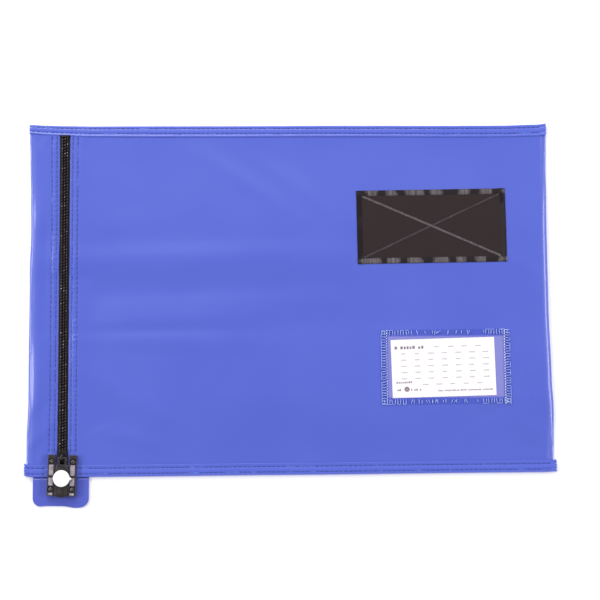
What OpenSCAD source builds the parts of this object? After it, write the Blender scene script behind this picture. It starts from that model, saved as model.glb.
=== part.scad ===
// Zip-up cash deposit bag of coated fabric, with a seal lock riveted over its bottom hem.
// The bag lies on its back: +X runs along its long side, +Y towards the top hem, +Z out of its front.
// Millimetres. The origin is the middle of the whole outline, on the surface that the bag lies on.

/* [Bag] */
// Width over the two side folds
bag_w = 480; // [440:1:520]
// Height over the two hems
bag_h = 325; // [300:1:360]
// Thickness of the coated sheet
sheet_t = 0.6; // [0.5:0.1:0.7]
// Height of the front over the surface that the bag lies on
loft = 8; // [7.5:0.5:10]

/* [Hems] */
// Width of the binding strips
hem_w = 11; // [9:0.5:14]
// How far the bottom binding runs out past each side fold
bottom_overhang = 3.5; // [1:0.5:6]
// How far the top binding runs out past each side fold
top_overhang = 1; // [0.5:0.5:3]

/* [Zip] */
// Distance from the left fold to the middle of the zip
zip_inset = 32.2; // [32:0.1:60]
// Width of the slot in the sheet that shows the zip
zip_slot = 9.8; // [9.8:0.2:11]
// Width of each zip tape
tape_w = 15.5; // [14:0.5:18]
// Thickness of the zip tapes
tape_t = 0.5; // [0.4:0.1:0.7]
// Height of the coil over its tape
coil_h = 2.2; // [1.8:0.1:2.6]

/* [Lock] */
// Length of the chamber along the zip
chamber_l = 37.5; // [36:0.1:44]
// Width of each chamber rail
rail_w = 6.8; // [6.5:0.1:8.5]
// Width of the puller tongue
tongue_w = 12; // [11:0.5:13]
// Radius of the round seal
seal_r = 7.6; // [7:0.1:8]
// Width of the tab behind the lock
tab_w = 52; // [46:1:60]
// How far the tab reaches past the bottom hem
tab_drop = 28; // [24:1:36]
// Thickness of the tab
tab_t = 0.8; // [0.8:0.1:1]

/* [Front trim] */
// Width of the writing patch
patch_w = 138; // [110:0.5:140]
// Height of the writing patch
patch_h = 69; // [50:1:70]
// Width of the address window
window_w = 119; // [115:1:130]
// Height of the address window
window_h = 69; // [69:1:74]
// Width of the sewn border of the patch and the window
border_w = 5.5; // [4.5:0.5:5.5]
// Width of the address card
card_w = 95; // [85:0.5:95]
// Height of the address card
card_h = 53.5; // [48:0.5:53.5]

/* [Hidden] */
$fn = 48;

sheet_blue = [0.36, 0.43, 0.84];
thread_blue = [0.28, 0.35, 0.72];
zip_black = [0.14, 0.12, 0.13];
lock_brown = [0.24, 0.21, 0.21];

// Gap between parts that move past each other, and what cuts run past a face
play = 0.3;
over = 1;

// Heights of the layers, from the surface up
tab_z = 2 * sheet_t;
tape_z = tab_z + tab_t;
coil_z = tape_z + tape_t;
front_z = coil_z + sheet_t;
hem_t = front_z + sheet_t;
coil_top = coil_z + coil_h;

// Places in the plane, measured from the middle of the bag itself
half_w = bag_w / 2;
half_h = bag_h / 2;
bag_y = tab_drop / 2;
hem_in = half_h - hem_w;
hem_wall = 0.8;
sheet_y = half_h - hem_wall - 0.6;
zip_x = -half_w + zip_inset;
coil_gap = 0.55;
coil_w = 3;
sewn_w = 17;
step_w = 0.5;

// The tab is sewn behind the bottom hem, whose back steps up over it.
tab_x = zip_x - 1.6;
tab_clear = 1;
tab_rise = 2.5;
jog_x = [tab_x - tab_w / 2 - tab_clear, tab_x + tab_w / 2 + tab_clear];

// Slider, tongue and seal
slider_l = 11;
slider_w = 9.2;
slider_y = 2 - hem_in;
slider_plate = 0.9;
slider_roof = coil_top + play;
slider_top = slider_roof + slider_plate;
bridge_w = 2.2;
bridge_leg = 1.6;
floor_top = slider_top + play;
tongue_z = floor_top + play;
tongue_t = 1.8;
tongue_top = tongue_z + tongue_t;
hinge_r = tongue_t / 2;
hinge_y = slider_y + 4;
hinge_z = tongue_z + hinge_r;
eye_w = 4.4;
arm_w = 2.2;
tongue_end = -half_h - 19.1;
seal_y = -half_h - 1.7;
seal_z = tongue_top + play;
seal_t = 1.6;
shank_r = 1.9;

// Chamber
chamber_top_y = -half_h + 19.9;
chamber_end_y = chamber_top_y - chamber_l;
chamber_floor_y = -hem_in - 2;
rail_in = tongue_w / 2 + 0.35;
rail_x = rail_in + rail_w / 2;
rail_top = tongue_top - 0.5;
rivet_ys = [-half_h + 13.7, -half_h - 11.5];
rivet_r = 1.25;
rivet_hole_r = 1.3;
head_r = 2.2;
head_t = 1;
sunk = 0.2;
washer_r = 2.3;
tail_r = 1.9;

// Trim on the front
patch_at = [132.5, 66.2];
patch_turn = 0.6;
window_at = [143.7, -64.6];
window_turn = 0.3;
card_at = [141.4, -65.3];
card_turn = 1.4;
trim_t = 0.6;
pane_t = 0.4;
card_t = 0.3;
thread_t = 0.25;
thread_w = 0.8;
slope_w = 41;
right_fold = 14;
left_fold = 7;
left_crown = 0.9;
fold_edge = 1.4;

// Everything is drawn from the middle of the bag and moved here to the origin.
module placed() {
    translate([0, bag_y, 0])
        children();
}

// A rectangle with true round corners, from its lower left corner
module rounded(w, h, r) {
    translate([r, 0])
        square([w - 2 * r, h]);
    translate([0, r])
        square([w, h - 2 * r]);
    for (x = [r, w - r], y = [r, h - r])
        translate([x, y])
            circle(r = r);
}

// A block with its middle at x and its lowest corner at y and z
module block(x, y, z, size) {
    translate([x - size[0] / 2, y, z])
        cube(size);
}

function held(u) = min(1, max(0, u));
function eased(u) = held(u) * held(u) * (3 - 2 * held(u));
function round_drop(u) = 1 - sqrt(1 - held(u) * held(u));
function puff(y) = eased((hem_in - abs(y)) / slope_w);

// Upper face of the front: it rises from the zip to a level field and rolls down at the right fold.
function front_top(x, y) =
    front_z + puff(y) * ((loft - front_z) * eased((x - zip_x - sewn_w) / slope_w)
    - (loft - fold_edge) * round_drop((x - half_w + right_fold) / right_fold));

function front_under(x, y) =
    max(sheet_t, front_top(x, y) - sheet_t - 0.8 * puff(y) * held((x - half_w + right_fold) / right_fold));

// Upper face of the narrow strip between the zip and the left fold
function side_top(x, y) =
    front_z + puff(y) * (left_crown * eased((zip_x - sewn_w - x) / left_fold)
    - (front_z + left_crown - fold_edge) * round_drop((left_fold - half_w - x) / left_fold));

function side_under(x, y) =
    max(sheet_t, side_top(x, y) - sheet_t - 0.5 * puff(y) * held((left_fold - half_w - x) / left_fold));

// The back lies flat and steps up on to the bindings at the hems, and further up over the tab.
function over_tab(x, y) = y > 0 ? 0 : held(min(x - jog_x[0], jog_x[1] - x) / step_w + 1);
function back_under(x, y) =
    (sheet_t + tab_t * over_tab(x, y)) * held((abs(y) - hem_in + step_w) / step_w);
function back_top(x, y) = back_under(x, y) + sheet_t;

// A sheet over a grid of stations, with top(x, y) and under(x, y) as its two faces
module gridded_sheet(xs, ys, top, under) {
    rows = len(ys);
    last_x = len(xs) - 1;
    last_y = rows - 1;
    layer = len(xs) * rows;
    function at(i, j, k) = k * layer + i * rows + j;
    function quad(a, b, c, d) = [[a, b, c], [a, c, d]];
    points = [for (face = [under, top]) for (x = xs) for (y = ys) [x, y, face(x, y)]];
    upper = [for (i = [0:last_x - 1]) for (j = [0:last_y - 1])
        each quad(at(i, j, 1), at(i, j + 1, 1), at(i + 1, j + 1, 1), at(i + 1, j, 1))];
    lower = [for (i = [0:last_x - 1]) for (j = [0:last_y - 1])
        each quad(at(i, j, 0), at(i + 1, j, 0), at(i + 1, j + 1, 0), at(i, j + 1, 0))];
    ends = [for (j = [0:last_y - 1]) each concat(
        quad(at(0, j, 0), at(0, j + 1, 0), at(0, j + 1, 1), at(0, j, 1)),
        quad(at(last_x, j, 0), at(last_x, j, 1), at(last_x, j + 1, 1), at(last_x, j + 1, 0)))];
    sides = [for (i = [0:last_x - 1]) each concat(
        quad(at(i, 0, 0), at(i, 0, 1), at(i + 1, 0, 1), at(i + 1, 0, 0)),
        quad(at(i, last_y, 0), at(i + 1, last_y, 0), at(i + 1, last_y, 1), at(i, last_y, 1)))];
    polyhedron(points = points, faces = concat(upper, lower, ends, sides));
}

// Stations along Y that all the sloping sheets share
slope_ys = [for (share = [0, 0.25, 0.6, 1]) hem_in - share * slope_w];
sheet_ys = concat([-sheet_y], [for (y = slope_ys) -y], [for (k = [3:-1:0]) slope_ys[k]], [sheet_y]);

// Rivet shanks, or their holes, down through the layers
module rivet_bores(r, ys = rivet_ys) {
    for (side = [-1, 1], y = ys)
        translate([zip_x + side * rail_x, y, -over])
            cylinder(r = r, h = floor_top + 2 * over);
}

module back_panel() {
    color(sheet_blue)
        placed()
            gridded_sheet([-half_w, jog_x[0] - step_w, jog_x[0], jog_x[1], jog_x[1] + step_w, half_w],
                          [-sheet_y, -hem_in, step_w - hem_in, hem_in - step_w, hem_in, sheet_y],
                          function(x, y) back_top(x, y), function(x, y) back_under(x, y));
}

module front_panel() {
    rise_xs = [for (share = [0, 0.25, 0.6, 1]) zip_x + sewn_w + share * slope_w];
    fold_xs = [for (share = [0, 0.5, 0.8, 0.95, 1]) half_w - right_fold * (1 - share)];
    color(sheet_blue)
        placed()
            difference() {
                gridded_sheet(concat([zip_x + zip_slot / 2], rise_xs, fold_xs), sheet_ys,
                              function(x, y) front_top(x, y), function(x, y) front_under(x, y));
                rivet_bores(rivet_hole_r);
            }
}

module zip_side_panel() {
    fold_xs = [for (share = [1, 0.9, 0.6, 0]) left_fold * (1 - share) - half_w];
    color(sheet_blue)
        placed()
            difference() {
                gridded_sheet(concat(fold_xs, [zip_x - sewn_w, zip_x - zip_slot / 2]), sheet_ys,
                              function(x, y) side_top(x, y), function(x, y) side_under(x, y));
                rivet_bores(rivet_hole_r);
            }
}

// A strip folded round the raw edges: side is 1 for the top hem and -1 for the bottom one.
module binding(side, overhang) {
    length = bag_w + 2 * overhang;
    low_y = side * (half_h - hem_w / 2) - hem_w / 2;
    difference() {
        block(0, low_y, 0, [length, hem_w, hem_t]);
        block(0, low_y - side * hem_wall, sheet_t, [length + 2 * over, hem_w, hem_t - 2 * sheet_t]);
    }
}

module top_binding() {
    color(sheet_blue)
        placed()
            binding(1, top_overhang);
}

// The back leg of the bottom binding is raised over the tab by the tab's thickness.
module bottom_binding() {
    jog_w = jog_x[1] - jog_x[0];
    color(sheet_blue)
        placed()
            difference() {
                union() {
                    binding(-1, bottom_overhang);
                    block(tab_x, -half_h, 0, [jog_w, hem_w, sheet_t + tab_t]);
                }
                block(tab_x, -half_h - over, -over, [jog_w, hem_w + 2 * over, tab_t + over]);
            }
}

// The tab lies flat behind the hem and rises past it to leave room for the rivets' tails.
module lock_tab() {
    corner_r = 8;
    end_y = -half_h - tab_drop;
    inner_y = -hem_in - 1;
    tab_ys = [end_y, -half_h - tab_rise, -half_h, inner_y];
    tab_under = function(x, y) tab_z * held(-(y + half_h) / tab_rise);
    color(sheet_blue)
        placed()
            difference() {
                intersection() {
                    gridded_sheet([tab_x - tab_w / 2, tab_x + tab_w / 2], tab_ys,
                                  function(x, y) tab_under(x, y) + tab_t, tab_under);
                    translate([tab_x - tab_w / 2, end_y, -over])
                        linear_extrude(hem_t) {
                            rounded(tab_w, tab_drop, corner_r);
                            translate([0, corner_r])
                                square([tab_w, inner_y - end_y]);
                        }
                }
                rivet_bores(rivet_hole_r);
            }
}

module zip_tape(side) {
    color(zip_black)
        placed()
            difference() {
                block(zip_x + side * (coil_gap + tape_w / 2), -sheet_y, tape_z,
                      [tape_w, 2 * sheet_y, tape_t]);
                rivet_bores(rivet_hole_r, [rivet_ys[0]]);
            }
}

module zip_tape_left() {
    zip_tape(-1);
}

module zip_tape_right() {
    zip_tape(1);
}

// The coil as one rounded bar, the outside of its turns
module zip_coil(side) {
    first_y = -hem_in + 1;
    last_y = hem_in - 2;
    corner_r = 0.9;
    color(zip_black)
        placed()
            translate([zip_x + side * (coil_gap + coil_w / 2) - coil_w / 2, last_y, coil_z])
                rotate([90, 0, 0])
                    linear_extrude(last_y - first_y)
                        rounded(coil_w, coil_h, corner_r);
}

module zip_coil_left() {
    zip_coil(-1);
}

module zip_coil_right() {
    zip_coil(1);
}

module zip_stop(y, length) {
    grip = 0.3;
    width = 2 * (coil_gap + coil_w + grip);
    placed()
        block(zip_x, y, coil_z, [width, length, coil_h + grip / 2]);
}

module zip_top_stop() {
    color("silver")
        zip_stop(hem_in - 2, 1.8);
}

module zip_bottom_stop() {
    color("silver")
        zip_stop(0.1 - hem_in, 0.9);
}

// Outline of the slider's plates, widest at the nose where the halves of the zip part
module slider_outline() {
    tail_w = 7.6;
    polygon([[-slider_w / 2 + 1.2, 0], [slider_w / 2 - 1.2, 0], [slider_w / 2, 1.5],
             [slider_w / 2, 6.5], [tail_w / 2, 9], [tail_w / 2 - 0.6, slider_l],
             [0.6 - tail_w / 2, slider_l], [-tail_w / 2, 9], [-slider_w / 2, 6.5],
             [-slider_w / 2, 1.5]]);
}

module zip_slider() {
    keel_w = 0.5;
    wall_w = slider_w / 2 - coil_gap - coil_w - play;
    floor_z = sheet_t + play;
    keel_top = slider_roof + slider_plate / 2;
    bridge_z = hinge_z + hinge_r + 0.4;
    bridge_t = 1;
    rear_y = 0.8;
    front_y = 6.8;
    wall_y = 1.5;
    wall_l = 5;
    keel_y = 0.3;
    keel_l = 4.2;
    color(zip_black)
        placed()
            translate([zip_x, slider_y, 0]) {
                translate([0, 0, floor_z])
                    linear_extrude(tape_z - play - floor_z)
                        slider_outline();
                translate([0, 0, slider_roof])
                    linear_extrude(slider_plate)
                        slider_outline();
                for (side = [-1, 1])
                    block(side * (slider_w - wall_w) / 2, wall_y, coil_z + play,
                          [wall_w, wall_l, slider_roof - coil_z]);
                block(0, keel_y, floor_z, [keel_w, keel_l, keel_top - floor_z]);
                for (y = [rear_y, front_y])
                    block(0, y, keel_top, [bridge_w, bridge_leg, bridge_z - keel_top]);
                block(0, rear_y, bridge_z, [bridge_w, front_y + bridge_leg - rear_y, bridge_t]);
            }
}

// The tongue's eye hangs on the bar that runs under the slider's bridge.
module puller_tongue() {
    plate_y = slider_y - 2;
    shoulder_y = plate_y - 2.5;
    arm_x = eye_w / 2 + arm_w;
    edge_x = tongue_w / 2;
    tip_r = 10;
    tip_side = sqrt(tip_r * tip_r - edge_x * edge_x);
    boss_y = tongue_end + 4.5;
    boss_r = 2.3;
    boss_t = 0.2;
    eye_room = 0.6;
    joined = 0.5;
    color(lock_brown)
        placed()
            translate([zip_x, 0, 0]) {
                difference() {
                    translate([0, 0, tongue_z])
                        linear_extrude(tongue_t) {
                            polygon([[-arm_x, plate_y], [arm_x, plate_y], [edge_x, shoulder_y],
                                     [edge_x, tongue_end + tip_r - tip_side],
                                     [-edge_x, tongue_end + tip_r - tip_side],
                                     [-edge_x, shoulder_y]]);
                            intersection() {
                                translate([0, tongue_end + tip_r])
                                    circle(r = tip_r);
                                translate([-edge_x, tongue_end])
                                    square([tongue_w, tip_r / 2]);
                            }
                        }
                    translate([0, seal_y, tongue_z - over])
                        cylinder(r = shank_r + eye_room, h = tongue_t + 2 * over);
                }
                for (side = [-1, 1])
                    block(side * (arm_x - arm_w / 2), plate_y - joined, tongue_z,
                          [arm_w, hinge_y - plate_y + joined, tongue_t]);
                translate([-arm_x, hinge_y, hinge_z])
                    rotate([0, 90, 0])
                        cylinder(r = hinge_r, h = 2 * arm_x);
                translate([0, boss_y, tongue_top - boss_t])
                    cylinder(r = boss_r, h = 2 * boss_t);
            }
}

// One rail, stepped underneath to sit on the sheet, the hem and the tab in turn
module chamber_rail(side) {
    corner_r = 1;
    bar_w = 3.8;
    bar_gap = 1;
    bar_split = seal_y + 2.1;
    rivet_pad = 4;
    head_room = 0.35;
    bar_ys = [rivet_ys[0] - rivet_pad, bar_split + bar_gap / 2,
              bar_split - bar_gap / 2, rivet_ys[1] + rivet_pad];
    difference() {
        union() {
            translate([side * rail_x - rail_w / 2, chamber_end_y, tape_z])
                linear_extrude(rail_top - tape_z)
                    rounded(rail_w, chamber_l, corner_r);
            for (k = [0, 2])
                block(side * rail_x, bar_ys[k + 1], rail_top - sunk,
                      [bar_w, bar_ys[k] - bar_ys[k + 1], tongue_top - rail_top + sunk]);
        }
        block(side * rail_x, -half_h, 0, [rail_w + over, hem_w, hem_t]);
        block(side * rail_x, -hem_in, 0, [rail_w + over, 2 * hem_w, front_z]);
        for (y = rivet_ys)
            translate([side * rail_x, y, 0]) {
                cylinder(r = rivet_hole_r, h = rail_top + over);
                translate([0, 0, rail_top - head_t - sunk])
                    cylinder(r = head_r + head_room, h = head_t + over);
            }
    }
}

module lock_chamber() {
    slot_w = 2 * shank_r + 1.6;
    slot_end = seal_y - shank_r - 1;
    slot_floor = hem_t + 0.9;
    end_step = 0.6;
    joined = 0.2;
    floor_l = chamber_floor_y - chamber_end_y;
    color(lock_brown)
        placed()
            translate([zip_x, 0, 0]) {
                for (side = [-1, 1])
                    chamber_rail(side);
                difference() {
                    block(0, chamber_end_y + end_step, tape_z,
                          [2 * (rail_in + joined), floor_l, floor_top - tape_z]);
                    block(0, -half_h, 0, [2 * rail_in + over, 2 * hem_w, hem_t]);
                    block(0, slot_end, slot_floor, [slot_w, floor_l, hem_t]);
                }
            }
}

module chamber_rivets() {
    tails = [tape_z - sheet_t, tab_z - sheet_t];
    tail_t = 0.5;
    head_z = rail_top - head_t - sunk;
    color(lock_brown)
        placed()
            for (side = [-1, 1], k = [0, 1])
                translate([zip_x + side * rail_x, rivet_ys[k], 0]) {
                    translate([0, 0, tails[k] - tail_t])
                        cylinder(r = tail_r, h = tail_t);
                    translate([0, 0, tails[k] - tail_t / 2])
                        cylinder(r = rivet_r, h = head_z - tails[k] + tail_t);
                    translate([0, 0, head_z])
                        cylinder(r = head_r, h = head_t);
                }
}

module rivet_washers() {
    unders = [tape_z - sheet_t, tab_z - sheet_t];
    color("silver")
        placed()
            difference() {
                for (side = [-1, 1], k = [0, 1])
                    translate([zip_x + side * rail_x, rivet_ys[k], unders[k]])
                        cylinder(r = washer_r, h = sheet_t);
                rivet_bores(rivet_hole_r);
            }
}

// The seal: a disc with a nose that shows which way it faces, on a barbed shank
module seal_button() {
    nose_l = 9.9;
    nub_l = 8;
    nose_w = 6;
    tip_z = coil_top + play;
    rim_r = seal_r - 0.5;
    rim_w = 0.7;
    rim_t = 0.2;
    barb_in = 0.4;
    barb_out = 0.3;
    barb_h = 0.9;
    color("white")
        placed()
            translate([zip_x, seal_y, 0]) {
                translate([0, 0, seal_z]) {
                    cylinder(r = seal_r, h = seal_t);
                    linear_extrude(seal_t)
                        polygon([[0, -nose_w], [nose_l, 0], [0, nose_w], [-nub_l, 0]]);
                }
                difference() {
                    translate([0, 0, seal_z + seal_t / 2])
                        cylinder(r = rim_r, h = seal_t / 2 + rim_t);
                    translate([0, 0, seal_z + seal_t])
                        cylinder(r = rim_r - rim_w, h = rim_t + over);
                }
                translate([0, 0, tip_z])
                    cylinder(r = shank_r, h = seal_z - tip_z + seal_t / 2);
                translate([0, 0, tip_z])
                    cylinder(r1 = shank_r - barb_in, r2 = shank_r + barb_out, h = barb_h);
            }
}

// A rectangle about its own middle, turned and set on the front
module on_front(at, turn) {
    placed()
        translate([at[0], at[1], loft])
            rotate([0, 0, turn])
                children();
}

module slab(w, h, z, t) {
    translate([-w / 2, -h / 2, z])
        cube([w, h, t]);
}

// A flat ring of the sewn border's width, just inside a w by h outline
module border(w, h, z) {
    inset = 0.5;
    difference() {
        slab(w - 2 * inset, h - 2 * inset, z, thread_t);
        slab(w - 2 * border_w, h - 2 * border_w, z - over, thread_t + 2 * over);
    }
}

module writing_patch() {
    color([0.23, 0.19, 0.19])
        on_front(patch_at, patch_turn)
            slab(patch_w, patch_h, 0, trim_t);
}

module patch_stitching() {
    diagonal_w = 2.4;
    inner_w = patch_w - 2 * border_w;
    inner_h = patch_h - 2 * border_w;
    slant = atan(inner_h / inner_w);
    diagonal_l = sqrt(inner_w * inner_w + inner_h * inner_h) - 1;
    color([0.35, 0.31, 0.32])
        on_front(patch_at, patch_turn) {
            border(patch_w, patch_h, trim_t);
            for (side = [-1, 1])
                rotate([0, 0, side * slant])
                    slab(diagonal_l, diagonal_w, trim_t, thread_t);
        }
}

// Clear sheet sewn down all round, standing just off the front over the card
module window_sheet() {
    corner_r = 2.5;
    pocket_t = card_t + 0.2;
    color([0.6, 0.65, 0.9, 0.5])
        on_front(window_at, window_turn)
            difference() {
                translate([-window_w / 2, -window_h / 2, 0])
                    linear_extrude(pocket_t + pane_t)
                        rounded(window_w, window_h, corner_r);
                slab(window_w - 2 * border_w, window_h - 2 * border_w, -over, pocket_t + over);
            }
}

module window_stitching() {
    color([0.55, 0.65, 0.92])
        on_front(window_at, window_turn)
            border(window_w, window_h, card_t + 0.2 + pane_t);
}

module address_card() {
    color("white")
        on_front(card_at, card_turn)
            slab(card_w, card_h, 0.1, card_t);
}

// Two straight rows of stitches along a hem, broken where the chamber covers them
module hem_rows(side, spans) {
    color(thread_blue)
        placed()
            for (inset = [2.9, 7.9], span = spans)
                translate([span[0], side * (half_h - inset) - thread_w / 2, hem_t])
                    cube([span[1] - span[0], thread_w, thread_t]);
}

module top_hem_stitching() {
    hem_rows(1, [[-half_w, half_w]]);
}

module bottom_hem_stitching() {
    cover = rail_in + rail_w + 0.2;
    hem_rows(-1, [[-half_w - 2, zip_x - cover], [zip_x + cover, half_w + 2]]);
}

// Two rows of stitches beside the zip, from the chamber to the top hem
module zip_rows(side) {
    first_y = chamber_top_y + 0.2;
    color(thread_blue)
        placed()
            for (inset = [7.4, 12])
                block(zip_x + side * inset, first_y, front_z, [thread_w, hem_in - first_y - 0.2, thread_t]);
}

module zip_stitching_left() {
    zip_rows(-1);
}

module zip_stitching_right() {
    zip_rows(1);
}

back_panel();
front_panel();
zip_side_panel();
top_binding();
bottom_binding();
lock_tab();
zip_tape_left();
zip_tape_right();
zip_coil_left();
zip_coil_right();
zip_top_stop();
zip_bottom_stop();
zip_slider();
puller_tongue();
lock_chamber();
chamber_rivets();
rivet_washers();
seal_button();
writing_patch();
window_sheet();
address_card();
top_hem_stitching();
bottom_hem_stitching();
zip_stitching_left();
zip_stitching_right();
patch_stitching();
window_stitching();
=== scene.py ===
"""Looks of a zip-up cash deposit bag of coated fabric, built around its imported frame.

Inside the classes lengths are millimetres, measured from the middle of the bag's own
outline on the surface that it lies on. ``Shape.piece`` turns them into metres in the frame.
"""

import logging
import math
from dataclasses import dataclass, replace
from enum import Enum
from typing import Callable, Iterable, Optional, Sequence, Union

import bpy
import numpy as np
from mathutils import Matrix, Vector


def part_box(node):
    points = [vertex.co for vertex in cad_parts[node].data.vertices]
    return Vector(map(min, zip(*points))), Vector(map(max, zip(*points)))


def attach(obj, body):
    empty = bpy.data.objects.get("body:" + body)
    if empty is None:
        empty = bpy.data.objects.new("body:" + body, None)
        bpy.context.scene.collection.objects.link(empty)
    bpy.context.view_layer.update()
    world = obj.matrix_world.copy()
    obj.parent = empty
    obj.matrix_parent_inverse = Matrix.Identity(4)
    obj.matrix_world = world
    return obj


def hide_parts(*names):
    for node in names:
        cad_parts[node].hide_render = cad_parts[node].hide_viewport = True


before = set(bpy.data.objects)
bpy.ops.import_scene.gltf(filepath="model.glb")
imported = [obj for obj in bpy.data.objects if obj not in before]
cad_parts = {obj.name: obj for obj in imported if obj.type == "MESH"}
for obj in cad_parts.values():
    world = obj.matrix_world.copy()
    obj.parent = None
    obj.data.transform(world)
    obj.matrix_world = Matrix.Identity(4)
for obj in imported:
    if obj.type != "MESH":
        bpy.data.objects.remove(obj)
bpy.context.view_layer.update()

LOG = logging.getLogger("deposit_bag")
MM = 0.001
TURN = 2 * math.pi
Colour = tuple[float, float, float]
Line = Callable[[np.ndarray], np.ndarray]
Height = Callable[[np.ndarray, np.ndarray], np.ndarray]
Edges = Callable[[np.ndarray], tuple[np.ndarray, np.ndarray]]


class Body(Enum):
    """The frame's moving bodies."""

    BAG = "bag"
    SLIDER = "slider"
    TONGUE = "tongue"
    SEAL = "seal"
    CARD = "card"


class Slot(Enum):
    """The record's material slots."""

    SHEET = "coated_sheet"
    BINDING = "binding"
    TAPE = "zip_tape"
    COIL = "zip_coil"
    STOP = "zip_metal"
    SLIDER = "slider_plastic"
    LOCK = "lock_plastic"
    RIVET = "rivet"
    WASHER = "washer"
    SEAL = "seal_plastic"
    PATCH = "patch_fabric"
    CLEAR = "clear_sheet"
    CARD = "card"
    BLUE_THREAD = "blue_thread"
    DARK_THREAD = "dark_thread"
    CLEAR_THREAD = "clear_thread"


class Hem(Enum):
    """The two bound edges, by the sign of their Y."""

    TOP = 1
    BOTTOM = -1


class Face(Enum):
    """The two faces of the bag, by the sign of their Z."""

    FRONT = 1
    BACK = -1


# ---------------------------------------------------------------- shaping helpers


def eased(share: Union[float, np.ndarray]) -> np.ndarray:
    """A share held between 0 and 1, with a soft start and end."""
    held = np.clip(share, 0.0, 1.0)
    return held * held * (3 - 2 * held)


def hump(distance: Union[float, np.ndarray], width: float) -> np.ndarray:
    """1 at no distance, falling off like a bell of that width."""
    return np.exp(-((distance / width) ** 2))


def soft_line(knots: Sequence[tuple[float, float]]) -> Line:
    """A smooth line through knots.

    Args:
        knots: (place, value) pairs in rising order of place.

    Returns:
        A function of place that eases from each knot's value to the next.
    """
    places = np.array([k[0] for k in knots], float)
    values = np.array([k[1] for k in knots], float)

    def line(at: np.ndarray) -> np.ndarray:
        """The line's value at each place."""
        at = np.clip(np.asarray(at, float), places[0], places[-1])
        k = np.clip(np.searchsorted(places, at, side="right") - 1, 0, len(places) - 2)
        share = eased((at - places[k]) / (places[k + 1] - places[k]))
        return values[k] + (values[k + 1] - values[k]) * share

    return line


def stations(low: float, high: float, step: float, marks: Iterable[float] = ()) -> np.ndarray:
    """Places from low to high about a step apart.

    Args:
        low: The first place.
        high: The last place.
        step: About how far apart they are.
        marks: Extra places to take in.

    Returns:
        The places in rising order.
    """
    count = max(2, int(round((high - low) / step)) + 1)
    even = np.linspace(low, high, count)
    extra = np.array([m for m in marks if low < m < high], float)
    every = np.sort(np.concatenate([even, extra]))
    keep = np.concatenate([[True], np.diff(every) > 1e-6])
    return every[keep]


def lipped(low: float, high: float, lip: float, step: float) -> np.ndarray:
    """Stations with close ones near both ends, for a rounded lip."""
    near = lip * np.array([0.06, 0.2, 0.45, 0.75, 1.0])
    return stations(low, high, step, np.concatenate([low + near, high - near]))


def roll_off(distance: np.ndarray, lip: float) -> np.ndarray:
    """How far a rounded edge of that lip falls at a distance from the edge."""
    share = np.clip(1 - distance / lip, 0.0, 1.0)
    return lip * (1 - np.sqrt(np.maximum(0.0, 1 - share * share)))


def flat_at(height: float) -> Height:
    """A flat face at one height."""
    return lambda x, y: np.full_like(x, height)


def between(first: float, last: float) -> Edges:
    """Straight edges along Y at two places, given in either order."""
    low, high = sorted((first, last))
    return lambda at: (np.full_like(at, low), np.full_like(at, high))


def uneven_share(count: np.ndarray) -> np.ndarray:
    """A share from 0 to 1 that jumps about from number to number."""
    return np.modf(np.abs(np.sin(count) * 437.5))[0]


def surface_normals(points: np.ndarray) -> np.ndarray:
    """Unit normals of a grid of points, from its rows to its columns."""
    along = np.gradient(points, axis=1)
    across = np.gradient(points, axis=0)
    normal = np.cross(along, across)
    return normal / np.maximum(np.linalg.norm(normal, axis=-1, keepdims=True), 1e-9)


@dataclass(frozen=True)
class Plan:
    """Where the frame puts the bag's parts, in millimetres from the bag's middle."""

    middle_y: float
    half_w: float
    half_h: float
    hem_in: float
    hem_t: float
    zip_x: float
    slot_half: float
    front_z: float
    loft: float
    tape_z: float
    coil_z: float

    @classmethod
    def read(cls) -> "Plan":
        """Reads the sizes from the frame's own boxes."""
        top_low, top_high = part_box("top_binding")
        bottom_low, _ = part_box("bottom_binding")
        middle_y = (top_high.y + bottom_low.y) / 2 / MM
        panel_low, panel_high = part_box("front_panel")
        zip_x = (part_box("zip_coil_left")[0].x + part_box("zip_coil_right")[1].x) / 2 / MM
        return cls(
            middle_y=middle_y,
            half_w=panel_high.x / MM,
            half_h=top_high.y / MM - middle_y,
            hem_in=top_low.y / MM - middle_y,
            hem_t=top_high.z / MM,
            zip_x=zip_x,
            slot_half=panel_low.x / MM - zip_x,
            front_z=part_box("zip_stitching_left")[0].z / MM,
            loft=panel_high.z / MM,
            tape_z=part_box("zip_tape_left")[0].z / MM,
            coil_z=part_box("zip_coil_left")[0].z / MM,
        )

    def box(self, node: str) -> tuple[np.ndarray, np.ndarray]:
        """A node's lowest and highest corners, in millimetres from the bag's middle."""
        shift = np.array([0.0, self.middle_y, 0.0])
        low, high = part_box(node)
        return np.array(low) / MM - shift, np.array(high) / MM - shift

    def middle(self, node: str) -> np.ndarray:
        """The middle of a node's box."""
        low, high = self.box(node)
        return (low + high) / 2


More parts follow.
